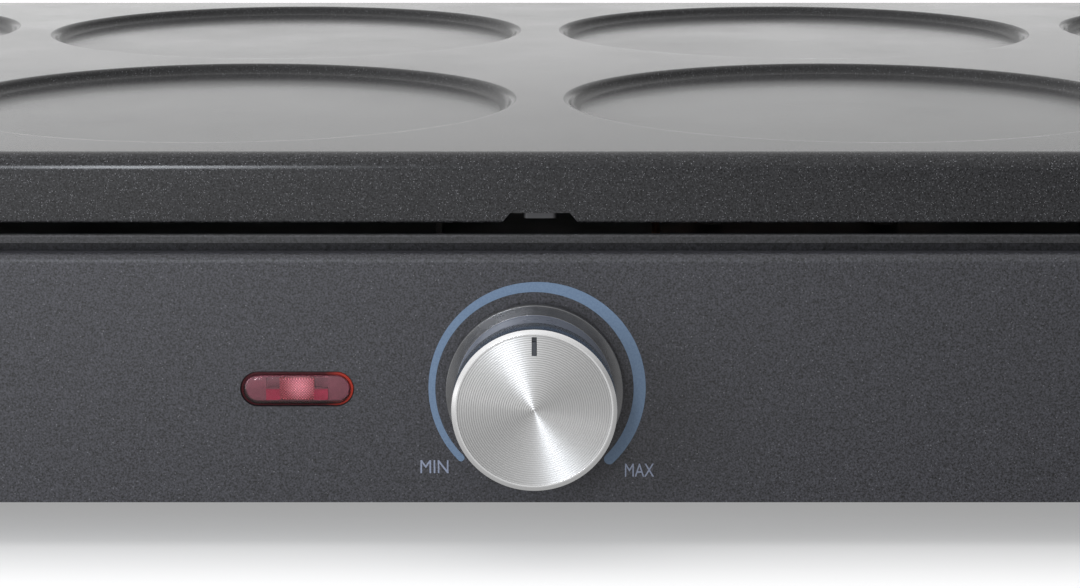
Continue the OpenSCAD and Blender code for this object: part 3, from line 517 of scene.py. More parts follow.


# %% [markdown]
# ## Finishes of the outside
# The plate has a sprayed non-stick coating: nearly black, satin, with a faint orange peel and
# tiny specks that glitter. Seen almost edge-on it mirrors the bright room, which is why the top
# looks light grey and the skirt dark. On the steep walls of the recesses the spray lies a little
# rougher, and its tones are painted darker there as painted shade. The case is powder painted,
# with a coarser and drier grain.

# %% Sprayed finishes
def sprayed(slot, dark, light, speck, rough, grain_mm, peel_mm, flake_mm, share, ior):
    """Paint or coating: two close tones in a fine grain, orange peel, and glittering specks."""
    finish(slot)
    bumps, drift = use(GRAIN, grain_mm, 45.0)
    flake = use(FLAKES, flake_mm, share)[0]
    fill(IOR=ior,
         Base_Color=mix_colours(flake, tone(bumps, dark, light), (*speck, 1.0)),
         Roughness=level(drift, rough - 0.02, rough + 0.02),
         Normal=relief(bumps, peel_mm))


COATING = dict(rough=0.19, grain_mm=0.34, peel_mm=0.003, flake_mm=0.20, share=0.36, ior=1.4)
ROUGHER = dict(COATING, rough=0.26)
POWDER = dict(rough=0.46, grain_mm=0.36, peel_mm=0.012, flake_mm=0.26, share=0.16, ior=1.6)
COVER = dict(rough=0.55, grain_mm=0.5, peel_mm=0.010, flake_mm=0.40, share=0.05, ior=1.5)

sprayed("plate_coating", grey(0.003, 1.1), grey(0.039, 1.08), grey(0.24, 1.06), **COATING)
# On the recess walls the coating's light tone and specks are darker than on the deck: painted shade.
sprayed("plate_wall_coating_painted_shade", grey(0.003, 1.1), grey(0.022, 1.08), grey(0.20, 1.06), **ROUGHER)
sprayed("casing_powder", grey(0.0), grey(0.060, 1.20), grey(0.13, 1.1), **POWDER)
sprayed("frame_powder", grey(0.0), grey(0.034, 1.14), grey(0.10, 1.1), **POWDER)
sprayed("cover_steel", grey(0.015), grey(0.045), grey(0.10), **COVER)
print("sprayed:", list(FINISHES))

# %% [markdown]
# ## Mouldings, rubber and ceramics
# Moulded plastic takes the fine spark texture of its mould, rubber is duller and picks up dust,
# and fired ceramic is chalky with faint clouds. They share one recipe: a grain for the relief,
# a drift for the gloss, and two close tones.

# %% Moulded and fired finishes
def moulding(slot, colour, rough, grain_mm, depth_mm, spread=0.25):
    """Two close tones round a colour, in slow clouds, over a fine relief."""
    finish(slot)
    bumps, drift = use(GRAIN, grain_mm, 18.0)
    dark = tuple(part * (1 - spread) for part in colour)
    light = tuple(min(1.0, part * (1 + spread)) for part in colour)
    fill(Base_Color=tone(drift, dark, light),
         Roughness=level(drift, rough - 0.05, rough + 0.05),
         Normal=relief(bumps, depth_mm))


moulding("handle_moulding", (0.014, 0.014, 0.015), 0.48, 0.5, 0.02)
moulding("knob_moulding", (0.06, 0.066, 0.078), 0.30, 0.3, 0.003)
moulding("holder_moulding", (0.02, 0.02, 0.022), 0.45, 0.4, 0.01)
moulding("gland_moulding", (0.014, 0.014, 0.015), 0.45, 0.4, 0.01)
moulding("foot_rubber", (0.016, 0.016, 0.016), 0.75, 0.6, 0.03)
# The tray's near-black is partly its dark enamel and partly painted shade, so the gap under the plate stays dark.
moulding("tray_enamel", (0.014, 0.014, 0.015), 0.45, 0.4, 0.006)
moulding("heat_ceramic", (0.68, 0.64, 0.56), 0.7, 0.35, 0.02, 0.08)
moulding("block_moulding", (0.74, 0.72, 0.65), 0.4, 0.5, 0.01, 0.05)
moulding("thermostat_case", (0.055, 0.036, 0.024), 0.42, 0.6, 0.02)
moulding("wire_brown", (0.16, 0.07, 0.03), 0.4, 0.8, 0.02, 0.12)
moulding("wire_blue", (0.03, 0.09, 0.32), 0.4, 0.8, 0.02, 0.12)
moulding("wire_green", (0.16, 0.28, 0.03), 0.4, 0.8, 0.02, 0.12)
print("finishes so far:", len(FINISHES))

# %% [markdown]
# ## Metals
# Bare metals differ by colour and by the marks of how they were made: rolled sheet and zinc have
# fine streaks, an element's sheath has dull oxide with heat colours, and brass and copper
# have a warm satin. One recipe with streaks covers all but the sheath and the dial.

# %% Metal finishes
def metal(slot, colour, rough):
    """Rolled or plated metal, with streaks and a slow drift of its tone."""
    finish(slot)
    streak = use(STREAKS, 0.12)[0]
    drift = use(GRAIN, 0.5, 30.0)[1]
    dark = tuple(part * (1 - 0.06) for part in colour)
    fill(Metallic=1.0,
         Base_Color=tone(drift, dark, colour),
         Roughness=level(streak, rough - 0.06, rough + 0.06),
         Normal=relief(streak, 0.004))


metal("tab_steel", (0.10, 0.10, 0.105), 0.42)
metal("aluminium_trim", (0.78, 0.78, 0.79), 0.35)
metal("zinc_steel", (0.66, 0.67, 0.69), 0.34)
# The inner steel is painted nearly black, as painted shade that keeps the gap under the plate dark.
metal("heat_steel", (0.09, 0.083, 0.077), 0.5)
metal("contact_brass", (0.80, 0.62, 0.28), 0.32)
metal("bulb_copper", (0.78, 0.42, 0.26), 0.36)

finish("element_sheath")
bumps, drift = use(GRAIN, 0.5, 14.0)
fill(Metallic=0.6,
     Base_Color=tone(drift, (0.07, 0.06, 0.055), (0.16, 0.13, 0.115)),
     Roughness=level(drift, 0.42, 0.58),
     Normal=relief(bumps, 0.02))
print("finishes so far:", len(FINISHES))

# %% [markdown]
# ## The griddle plate
# The plate is one casting: a thin deck with round recesses pressed into it, a turned-down skirt,
# pads for the supports, and a small notch in the front and rear skirt. It could be carved with
# booleans, but nearly every part of it follows the same rule, so the tree turns one profile for
# the skirt, one for a recess and one for its underside, copies the recesses on a grid, and then
# closes the deck between their rims. The roundings then run into the flats without a crease.
# Only the two notches are cut. A cut needs every face to look outwards, so the parts whose
# profile runs the other way round are flipped first.

# %% Griddle sizes
plate_low, plate_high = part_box("griddle_plate")
plate_mid = (plate_low + plate_high) / 2
GRIDDLE = {
    "Width": plate_high.x - plate_low.x,
    "Depth": plate_high.y - plate_low.y,
    "Corner": 20 * MM,
    "Edge Round": 3.0 * MM,
    "Skirt Height": plate_high.z - plate_low.z,
    "Skirt": 3 * MM,
    "Deck": 3.5 * MM,
    "Columns": 4,
    "Rows": 2,
    "Pitch": 128 * MM,
    "Recess Radius": 57.7 * MM,
    "Recess Depth": 2.2 * MM,
    "Wall Slant": 1.2 * MM,
    "Rim Round": 1.5 * MM,
    "Floor Round": 2.4 * MM,
    "Support Inset": 18 * MM,
    "Support Drop": 6 * MM,
    "Notch Width": 10.8 * MM,
    "Notch Height": 1.8 * MM,
    "Steps": 40,
}
LEDGE = 0.4 * MM  # narrow flat ring beside a rounding, so that the deck's shading stays flat
print("plate, mm:", {label: round(size / MM, 1) for label, size in GRIDDLE.items()
                     if isinstance(size, float)})


# %% Skirt and recess
def griddle_skirt(size):
    """Turned-down rim of the plate, from the deck's top round to its underside."""
    corner, foot, under = size["Corner"], -size["Skirt Height"], -size["Deck"]
    inner = corner - size["Skirt"]
    profile = outline([
        (corner - size["Edge Round"] - 2 * LEDGE, 0.0, 0.0),
        (corner - size["Edge Round"] - LEDGE, 0.0, 0.0),
        (corner, 0.0, size["Edge Round"]),
        (corner, foot, 0.5 * MM),
        (inner, foot, 0.5 * MM),
        (inner, under, 1.2 * MM),
        (inner - 2.4 * MM, under, 0.0),
    ], 10)
    return turned(profile, 12, size["Width"] * 0.5 - corner, size["Depth"] * 0.5 - corner)


def griddle_recess(size):
    """Hollow of one recess, and the pan that hangs under it."""
    radius, floor, under = size["Recess Radius"], -size["Recess Depth"], -size["Deck"]
    lean = size["Wall Slant"] * 0.5
    rim = radius + size["Rim Round"]
    bowl = turned(outline([
        (0.0, floor, 0.0),
        (radius - 3 * MM, floor, 0.0),
        (radius - lean, floor, size["Floor Round"]),
        (radius + lean, 0.0, size["Rim Round"]),
        (rim + LEDGE, 0.0, 0.0),
        (rim + 2 * LEDGE, 0.0, 0.0),
    ]), size["Steps"])
    back = radius + size["Deck"]
    bottom = floor - size["Deck"]
    pan = turned(outline([
        (0.0, bottom, 0.0),
        (back - 3 * MM, bottom, 0.0),
        (back, bottom, 1.6 * MM),
        (back, under, 0.8 * MM),
        (back + 1.2 * MM, under, 0.0),
    ], 4), size["Steps"])
    return bowl, pan


# %% Pads and notches
def griddle_pads(size):
    """Hollow pads under the deck: at its corners, and between its outer and inner recesses."""
    under = -size["Deck"]
    low = under - size["Support Drop"]
    pad = turned(outline([
        (0.0, low + 4 * MM, 0.0),
        (3 * MM, low + 4 * MM, 0.0),
        (3 * MM, low, 0.3 * MM),
        (7 * MM, low, 0.5 * MM),
        (7 * MM, under, 0.8 * MM),
        (8.4 * MM, under, 0.0),
    ], 3), 8)
    inset = size["Support Inset"] * 2.0
    across = size["Depth"] - inset
    stands = join(*[grid(along, across, 2, 2)
                    for along in (size["Width"] - inset, (size["Columns"] - 2.0) * size["Pitch"])])
    return copies(stands, pad)


def griddle_notches(size):
    """Wedges that cut the two notches: blocks whose lower edge is spread."""
    wedge = shape("MeshCube", {"Size": point(
        size["Notch Width"], size["Skirt"] * 3.0, size["Notch Height"] * 2.0)})
    x, _, z = split(here())
    flare = calc("SIGN", x) * calc("LESS_THAN", z, 0.0) * (3 * MM)
    wedge = shape("SetPosition", {0: wedge, "Offset": point(flare)})
    out = (size["Depth"] - size["Skirt"]) * 0.5
    return [shift(wedge, point(0.0, way, -size["Skirt Height"])) for way in (out, -out)]


# %% Griddle rule
def griddle_rule():
    size = open_rule("Griddle casting", GRIDDLE)
    bowl, pan = griddle_recess(size)
    recesses = grid((size["Columns"] - 1.0) * size["Pitch"], (size["Rows"] - 1.0) * size["Pitch"],
                    size["Columns"], size["Rows"])
    shell = join(flip(griddle_skirt(size)), copies(recesses, flip(bowl)),
                 copies(recesses, pan), griddle_pads(size))
    closed = merge(join(shell, sheet_at(shell, 0.0), flip(sheet_at(shell, -size["Deck"]))))
    return close_rule(carve(closed, *griddle_notches(size)), "plate_coating")


griddle_casting = grow(griddle_rule(), "griddle_casting", "plate", GRIDDLE, 28,
                       Matrix.Translation((plate_mid.x, plate_mid.y, plate_high.z)))
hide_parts("griddle_plate")

# %% Rougher coating and painted shade on the walls
WALL_REACH = 2.7 * MM  # how far a wall and its two roundings go from the recess radius
SKIN = 0.01 * MM  # a face must be this far from the deck and from the floor to be on a wall


def on_wall(spot):
    """Wall of a recess with its two roundings."""
    off = []
    for reach, count in ((spot.x - plate_mid.x, GRIDDLE["Columns"]),
                         (spot.y - plate_mid.y, GRIDDLE["Rows"])):
        cell = reach / GRIDDLE["Pitch"] + (count - 1) / 2
        cell -= min(max(round(cell), 0), count - 1)
        off.append(cell * GRIDDLE["Pitch"])
    beside = abs(math.hypot(*off) - GRIDDLE["Recess Radius"])
    sunk = plate_high.z - spot.z
    return beside < WALL_REACH and SKIN < sunk < GRIDDLE["Recess Depth"] - SKIN


dress(griddle_casting, "plate_wall_coating_painted_shade", on_wall)

# %% [markdown]
# ## Solids that only need a better surface
# Many solids already have the right shape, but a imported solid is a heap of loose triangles, so
# its round parts look faceted. A copy with its points merged, its moulded edges softened
# by a small bevel and its shading weighted by face size looks like the real piece. The case and
# the frame get no bevel, because their rolled edge and hem are already round.

# %% Refined copies
def merged_copy(node, name):
    """A node's mesh with its points merged and its flat triangles joined."""
    mesh = frame["nodes"][node].data.copy()
    mesh.name = name
    bm = bmesh.new()
    bm.from_mesh(mesh)
    bmesh.ops.remove_doubles(bm, verts=bm.verts, dist=WELD)
    bmesh.ops.dissolve_limit(bm, angle_limit=math.radians(0.4), verts=bm.verts, edges=bm.edges)
    bm.to_mesh(mesh)
    bm.free()
    return mesh


def refine(node, name, body, slot, bevel_mm=0.0, sharp=32.0, steps=2):
    """Replaces a solid by a merged, softened copy of itself."""
    mesh = merged_copy(node, name)
    mesh.materials.clear()
    mesh.materials.append(FINISHES[slot])
    mesh.shade_smooth()
    mesh.set_sharp_from_angle(angle=math.radians(sharp))
    piece = put(name, mesh)
    if bevel_mm:
        soft = piece.modifiers.new("soften", "BEVEL")
        soft.width = bevel_mm * MM
        soft.segments = steps
        soft.limit_method = "ANGLE"
        soft.angle_limit = math.radians(sharp)
        soft.use_clamp_overlap = True
        soft.harden_normals = False
    even = piece.modifiers.new("even", "WEIGHTED_NORMAL")
    even.keep_sharp = True
    even.weight = 100
    done = freeze(piece)
    piece.modifiers.clear()
    piece.data = done
    done.name = name
    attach(piece, body)
    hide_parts(node)
    print(f"{name}: {len(done.polygons)} faces")
    return piece


for part in ("front", "rear", "left", "right"):
    refine("shell_" + part, "casing_" + part, "base", "casing_powder", sharp=25)
refine("rim_frame", "hemmed_frame", "base", "frame_powder", sharp=25)
refine("plate_tab", "folded_tab", "plate", "tab_steel", 0.12)
for part in ("left", "right"):
    refine("handle_" + part, "grip_" + part, "base", "handle_moulding", 1.6, steps=4)
for part in ("front_left", "front_right", "rear_left", "rear_right"):
    refine("foot_" + part, "rubber_foot_" + part, "base", "foot_rubber", 0.7, steps=3)
refine("cord_gland", "gland", "base", "gland_moulding", 0.5, steps=3)

# %% [markdown]
# ## The dial
# The dial is a moulded knob with a spun aluminium cap pressed on. The cap's face is cut with
# concentric grooves, which spread light across them and make bright wedges that move with the
# eye. So the grooves are real geometry, and the finish adds a circular anisotropy and paints a
# fine pattern of light and dark circles, a painted shade of grooves too fine to model. A polished
# chamfer and a plain step frame the face, and a slot shows the black rib that points at the setting.

# %% Finish of the cap's face
cap_low, cap_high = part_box("knob_cap")
cap_mid = (cap_low + cap_high) / 2
# Width of one light-and-dark circle of the painted groove shade.
PAINTED_RING_WIDTH = 0.4 * MM  # width of one of the finer grooves

finish("knob_cap_metal")
off = shade("VectorMath", {0: coordinates(), 1: (cap_mid.x, 0.0, cap_mid.z)}, operation="SUBTRACT")
off = shade("VectorMath", {0: off, 1: (1.0, 0.0, 1.0)}, operation="MULTIPLY")
radius = every("ShaderNodeVectorMath", {0: off}, operation="LENGTH")["Value"]
# Painted shade: the colour goes light and dark in circles, standing for finer grooves.
painted_groove_shade = calc("MULTIPLY_ADD", calc("SINE", radius * (2 * math.pi / PAINTED_RING_WIDTH)), 0.2, 0.5)
fill(Metallic=1.0,
     Base_Color=tone(painted_groove_shade, grey(0.70), grey(1.0)),
     Roughness=0.48,
     Anisotropic=0.98,
     Anisotropic_Rotation=0.25,
     Tangent=shade("Tangent", direction_type="RADIAL", axis="Y"))

# %% Finishes of the cap's edge and the knob
# The cap's side is the same aluminium as its face, painted dark and bluish: painted shade.
for slot, colour, low, high in (("cap_rim_metal", (0.92, 0.92, 0.925), 0.16, 0.26),
                                ("cap_side_metal_painted_shade", (0.25, 0.28, 0.33), 0.22, 0.32)):
    finish(slot)
    fill(Metallic=1.0, Base_Color=(*colour, 1.0), Roughness=level(use(STREAKS, 0.1)[0], low, high))


def satin(slot, dark, light, smooth, rough, **constants):
    """Even satin, with faint small clouds."""
    finish(slot)
    drift = use(GRAIN, 0.3, 6.0)[1]
    fill(Base_Color=tone(drift, dark, light), Roughness=level(drift, smooth, rough), **constants)


# The barrel is the same moulding as the knob, painted a lighter blue-grey: a painted reflection.
satin("knob_barrel_satin_painted_reflection", (0.12, 0.135, 0.178), (0.145, 0.165, 0.215), 0.26, 0.34, IOR=1.5)
satin("knob_flange_metal", grey(0.17, 1.02), grey(0.22, 1.02), 0.22, 0.30, Metallic=0.85)
print("finishes so far:", len(FINISHES))

# %% Cap rule
CAP = {
    "Radius": (cap_high.x - cap_low.x) / 2,
    "Depth": cap_high.y - cap_low.y,
    "Chamfer": 0.7 * MM,
    "Step": 0.3 * MM,
    "Sunk": 0.15 * MM,
    "Wall": 0.8 * MM,
    "Grooves": 34,
    "Groove Depth": 0.05 * MM,
    "Slot Width": 0.9 * MM,
    "Slot Length": 3.4 * MM,
    "Steps": 32,
}


def cap_rule():
    size = open_rule("Spun cap", CAP)
    radius, sunk, back, roof = size["Radius"], -size["Sunk"], -size["Depth"], -size["Wall"]
    face = radius - size["Chamfer"] - size["Step"]
    count = size["Grooves"] * 2.0 + 1.0
    index = shape("InputIndex")
    height = sunk - calc("MODULO", index, 2.0) * size["Groove Depth"]
    grooved = shape("SetPosition", {
        0: shape("MeshLine", {"Count": count}),
        "Position": point(index / (count - 1.0) * face, height)})
    grooves = shape("MeshToCurve", {0: grooved})
    wall = radius - size["Wall"]
    rest = outline([
        (face, sunk, 0.0),
        (face, 0.0, 0.04 * MM),
        (radius - size["Chamfer"], 0.0, 0.04 * MM),
        (radius, size["Chamfer"] * -0.45, 0.1 * MM),
        (radius, back, 0.1 * MM),
        (wall, back, 0.1 * MM),
        (wall, roof, 0.2 * MM),
        (0.0, roof, 0.0),
    ], 3)
    shell = merge(join(turned(grooves, size["Steps"]), turned(rest, size["Steps"])))
    low = face - size["Slot Length"] - 0.3 * MM
    middle = low + size["Slot Length"] * 0.5
    slot = block(size["Slot Width"], size["Slot Length"], 6 * MM, point(0.0, middle))
    return close_rule(carve(shell, slot), "knob_cap_metal")


# %% Dial pieces
def facing_front(x, y, z):
    """A turned piece is made lying on its back, facing up; this stands it up to face the front."""
    return Matrix.Translation((x, y, z)) @ Matrix.Rotation(math.radians(90), 4, "X")


spun_cap = grow(cap_rule(), "spun_cap", "knob", CAP, 18,
                facing_front(cap_mid.x, cap_low.y, cap_mid.z))
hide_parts("knob_cap")
knob_moulding = refine("knob_body", "knob_moulding", "knob", "knob_moulding", 0.25, steps=3)

CAP_FACE = CAP["Radius"] - CAP["Chamfer"] - CAP["Step"]
CAP_SIDE = CAP["Radius"] - 0.1 * MM
SIDE_START = cap_low.y + 0.6 * MM
FLANGE_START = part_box("knob_body")[1].y - 1.95 * MM
BARREL_INSIDE = 12 * MM


def off_axis(spot):
    """Distance of a point from the dial's axis."""
    return math.hypot(spot.x - cap_mid.x, spot.z - cap_mid.z)


dress(spun_cap, "cap_rim_metal", lambda spot: off_axis(spot) > CAP_FACE)
dress(spun_cap, "cap_side_metal_painted_shade", lambda spot: off_axis(spot) > CAP_SIDE and spot.y > SIDE_START)
dress(knob_moulding, "knob_barrel_satin_painted_reflection",
      lambda spot: cap_high.y < spot.y < FLANGE_START and off_axis(spot) > BARREL_INSIDE)
dress(knob_moulding, "knob_flange_metal", lambda spot: spot.y > FLANGE_START)

# %% [markdown]
# ## The printed scale
# A blue-grey arc round the dial starts thin at MIN and ends wide at MAX, because its outer
# circle is centred a little to the right of the dial. Print is a film of ink, a few hundredths
# of a millimetre thick. It could be painted by a mask, but a thin raised ribbon keeps its edge
# crisp from any distance. Its rule: each column of points lies on one ray from the dial's
# axis, between the two circles, and the ribbon closes in a half-round at each end.

# %% Ink
for slot, dark, light in (("scale_ink", (0.125, 0.188, 0.285), (0.155, 0.228, 0.335)),
                          ("word_ink", (0.22, 0.25, 0.34), (0.27, 0.30, 0.39))):
    finish(slot)
    fill(Roughness=0.5, Base_Color=tone(use(GRAIN, 0.35, 12.0)[0], dark, light))

# %% Arc sizes
ARC = {
    "Inner Radius": 17.92 * MM,
    "Outer Radius": 19.63 * MM,
    "Shift X": 0.47 * MM,
    "Shift Y": 0.13 * MM,
    "Start": math.radians(-134),
    "End": math.radians(134),
    "Thickness": 0.05 * MM,
    "Columns": 720,
}
END_SPARE = math.radians(4)  # more than a half-round end takes up, at each end


# %% Arc rule
def arc_reach(size, angle, side):
    """Ray's angle and distance for a point on the ribbon's inner or outer edge."""
    inner, sine, cosine = size["Inner Radius"], calc("SINE", angle), calc("COSINE", angle)
    along = sine * size["Shift X"] + cosine * size["Shift Y"]
    across = cosine * size["Shift X"] - sine * size["Shift Y"]
    outer = along + calc("SQRT", size["Outer Radius"] ** 2.0 - across ** 2.0)
    half = (outer - inner) * 0.5
    centre = inner + half
    past = calc("MAXIMUM", calc("MAXIMUM", size["Start"] - angle, angle - size["End"]), 0.0)
    beyond = past * centre
    width = calc("SQRT", calc("MAXIMUM", half ** 2.0 - beyond ** 2.0, 0.0))
    trim = (beyond - calc("MINIMUM", beyond, half)) / centre
    return angle - calc("SIGN", angle) * trim, centre + side * width


def arc_rule():
    size = open_rule("Scale arc", ARC)
    x, y, _ = split(here())
    sweep = size["End"] - size["Start"] + 2 * END_SPARE
    angle = size["Start"] - END_SPARE + (x + 0.5) * sweep
    angle, reach = arc_reach(size, angle, calc("SIGN", y))
    flat = merge(shape("SetPosition", {
        0: grid(1.0, 1.0, size["Columns"], 2),
        "Position": point(calc("SINE", angle) * reach, calc("COSINE", angle) * reach)}))
    raised = shape("ExtrudeMesh", {
        "Mesh": flat, "Offset": point(0.0, 0.0, 1.0), "Offset Scale": size["Thickness"],
        "Individual": False}, mode="FACES")
    return close_rule(merge(join(raised, flat)), "scale_ink")


# %% Arc
knob_turn = next(joint for joint in frame["joints"] if joint["type"] == "hinge")
knob_axis = Vector(knob_turn["pos_m"])
panel_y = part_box("shell_front")[0].y
grow(arc_rule(), "scale_arc", "base", ARC, 30,
     facing_front(knob_axis.x, panel_y, knob_axis.z))

# %% [markdown]
# ## The words MIN and MAX
# Small plain capitals stand at the ends of the arc. Text is the natural tool for letters: each
# word is a text curve with a little thickness, made a mesh before it is put in place.

# %% Words
INK_HALF = 0.02 * MM  # half of the ink's thickness, because text is thickened both ways


def printed_word(text, x, z, height, width):
    """A word with its middle at a place on the panel, fitted to a height and a width."""
    name = "word_" + text.lower()
    curve = bpy.data.curves.new(name, "FONT")
    curve.body = text
    curve.align_x = "CENTER"
    curve.align_y = "CENTER"
    curve.extrude = INK_HALF
    curve.resolution_u = 4
    curve.size = 3.4 * MM
    host = put(name, curve)
    mesh = freeze(host)
    bpy.data.objects.remove(host)
    low = Vector([min(vert.co[i] for vert in mesh.vertices) for i in range(3)])
    high = Vector([max(vert.co[i] for vert in mesh.vertices) for i in range(3)])
    fit = Matrix.Diagonal((width / (high.x - low.x), height / (high.y - low.y), 1, 1))
    mesh.transform(fit @ Matrix.Translation(-(low + high) / 2))
    mesh.materials.append(FINISHES["word_ink"])
    return settle(name, mesh, "base", 30, facing_front(x, panel_y - INK_HALF, z))


printed_word("MIN", -19.2 * MM, 15.25 * MM, 2.45 * MM, 5.1 * MM)
printed_word("MAX", 18.1 * MM, 14.6 * MM, 2.45 * MM, 5.3 * MM)

# %% [markdown]
# ## The pilot lamp
# A clear red lens with round ends fills a slot in the panel. Behind its middle sits the small
# neon lamp, and the lens's back is moulded there with a cross-hatch of little pyramids that
# scatter its light. The lens is turned from one profile like the dial, with two corner centres
# instead of one, and the pyramids are copies on a grid. The light of the lamp itself is painted:
# a glow in the pyramids' finish, strongest in front of the lamp, where their colour is painted
# nearly white too, and a faint glow in the pads and ribs. The valleys between the pyramids are
# painted dark as painted shade, and the clear front's rim is painted dark on the left and bright
# at its right end, as painted light.

# %% Lens sizes
lens_low, lens_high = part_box("pilot_lens")
lens_mid = (lens_low + lens_high) / 2
LENS = {
    "Half Length": (lens_high.x - lens_low.x) / 2,
    "Half Height": (lens_high.z - lens_low.z) / 2,
    "Rim Round": 0.8 * MM,
    "Depth": 4.5 * MM,
    "Front": 0.9 * MM,
    "Wall": 0.35 * MM,
    "Collar": 0.45 * MM,
    "Back Near": 1.25 * MM,
    "Back Far": 3.2 * MM,
    "Pyramids X": 13,
    "Pyramids Y": 8,
    "Pyramid Size": 0.5 * MM,
    "Middle Width": 6.2 * MM,
    "Middle Height": 4.0 * MM,
    "Rib Width": 2.5 * MM,
    "Rib Height": 2.0 * MM,
    "Rib Drop": 0.95 * MM,
    "Pocket Height": 1.7 * MM,
    "Pocket Rise": 1.0 * MM,
    "Steps": 12,
}
PRISM_BACK = 1.2 * MM  # from the lens's front to the foot of the pyramids
PRISM_TALL = 0.18 * MM
print("lens, mm:", [round(side / MM, 1) for side in lens_high - lens_low])

# %% Finishes of the lens and its back
finish("lens_red")
fill(Roughness=0.1, IOR=1.49, Transmission_Weight=1.0,
     Base_Color=tone(use(GRAIN, 1.6, 9.0)[1], (0.88, 0.43, 0.49), (0.94, 0.53, 0.58)))

# Pads and ribs both glow faintly in their own colour: painted light from the lamp behind them.
for slot, dark, light in (("lens_pads", (0.20, 0.17, 0.21), (0.26, 0.23, 0.27)),
                          ("lens_ribs_red", (0.38, 0.02, 0.12), (0.46, 0.04, 0.17))):
    finish(slot)
    bumps = use(GRAIN, 0.5, 3.0)[0]
    colour = tone(bumps, dark, light)
    fill(Roughness=0.3, IOR=1.49, Emission_Strength=0.05, Base_Color=colour,
         Emission_Color=colour, Normal=relief(bumps, 0.02))

# Painted light: the red rim is nearly black on the left, as painted shade, and bright orange-red towards its right
# end.
finish("lens_rim_painted_light")
lit = fade(split(coordinates())[0], lens_mid.x + 5 * MM, lens_high.x, *NOISE_RANGE)
fill(Roughness=0.3, IOR=1.49, Specular_IOR_Level=0.2,
     Base_Color=tone(lit, (0.045, 0.003, 0.006), (0.50, 0.05, 0.03)))

# %% Finishes of the pyramids and the lamp
finish("lens_prisms_pink")
back = lens_low.y + PRISM_BACK
place = coordinates()
# Painted shade: the valleys between the pyramids are painted dark.
raised = fade(split(place)[1], back, back - 0.6 * PRISM_TALL, 0.0, 1.0)
middle = (lens_mid.x + 0.5 * MM, back, lens_mid.z + 0.6 * MM)
away = every("ShaderNodeVectorMath", {0: place, 1: middle}, operation="DISTANCE")["Value"]
# Painted light: near the lamp the facets turn nearly white and glow.
lit = fade(away, 3.0 * MM, 0.4 * MM, *NOISE_RANGE)
painted_glow_colour = tone(lit, (0.70, 0.34, 0.42), (0.96, 0.94, 0.95))
fill(Roughness=0.3, IOR=1.49, Emission_Strength=1.0,
     Base_Color=mix_colours(raised, (0.14, 0.04, 0.05, 1.0), painted_glow_colour),
     Emission_Color=tone(lit, (0.02, 0.0, 0.0), (0.36, 0.27, 0.29)))

finish("lamp_glass")
glow = tone(use(GRAIN, 1.0, 5.0)[1], (0.95, 0.34, 0.30), (1.0, 0.52, 0.42))
fill(Roughness=0.05, IOR=1.45, Transmission_Weight=0.6, Emission_Strength=1.2,
     Base_Color=glow, Emission_Color=glow)
print("finishes:", len(FINISHES))


# %% Clear front
def pill(size, corners, steps):
    """A profile swept round the lens's outline."""
    reach = size["Half Length"] - size["Half Height"]
    return merge(turned(outline(corners, steps), size["Steps"], reach, 0.0))


def lens_rule():
    size = open_rule("Pill lens", LENS)
    half, wall, back, front = size["Half Height"], size["Wall"], -size["Depth"], -size["Front"]
    wide = half + size["Collar"]
    inner = half - wall
    collar = size["Rim Round"] * -1.6
    under = collar - wall
    cover = pill(size, [
        (0.0, 0.0, 0.0),
        (half - size["Rim Round"] * 1.4, 0.0, 0.0),
        (half, 0.0, size["Rim Round"]),
        (half, collar, 0.1 * MM),
        (wide, collar, 0.1 * MM),
        (wide, under, 0.1 * MM),
        (half, under, 0.1 * MM),
        (half, back, 0.1 * MM),
        (inner, back, 0.1 * MM),
        (inner, front, 0.4 * MM),
        (0.0, front, 0.0),
    ], 6)
    return close_rule(cover, "lens_red")


lens_place = facing_front(lens_mid.x, lens_low.y, lens_mid.z)
lens_cover = grow(lens_rule(), "lens_cover", "base", LENS, 35, lens_place)
RIM_START = 0.8 * MM
RIM_END = LENS["Rim Round"] * 1.6 + LENS["Wall"] + 0.1 * MM


def on_rim(spot):
    """Outer wall and collar of the clear front, but not its hollow."""
    reach = max(abs(spot.x - lens_mid.x) - LENS["Half Length"] + LENS["Half Height"], 0.0)
    across = math.hypot(reach, spot.z - lens_mid.z)
    return (across > LENS["Half Height"] - 0.05 * MM
            and RIM_START < spot.y - lens_low.y < RIM_END)


dress(lens_cover, "lens_rim_painted_light", on_rim)


# %% Moulding behind the front
def twin_blocks(size, width, height, depth, rise, sunk):
    """Two equal blocks, left and right of the lens's middle."""
    side = (size["Rib Width"] + size["Middle Width"]) * 0.5
    return [block(width, height, depth, point(side * way, rise, sunk)) for way in (-1.0, 1.0)]


def pads_rule():
    size = open_rule("Lens pads", LENS)
    edge = size["Half Height"] - (size["Wall"] + 0.08 * MM)
    near, far = -size["Back Near"], -size["Back Far"]
    plate = pill(size, [(0.0, near, 0.0), (edge, near, 0.25 * MM), (edge, far, 0.1 * MM),
                        (0.0, far, 0.0)], 3)
    pockets = twin_blocks(size, size["Rib Width"], size["Pocket Height"], 1.2 * MM,
                          size["Pocket Rise"], -1.6 * MM)
    return close_rule(carve(plate, *pockets), "lens_pads")


def ribs_rule():
    size = open_rule("Lens ribs", LENS)
    ribs = twin_blocks(size, size["Rib Width"], size["Rib Height"], 0.25 * MM,
                       -size["Rib Drop"], -1.14 * MM)
    return close_rule(join(*ribs), "lens_ribs_red")


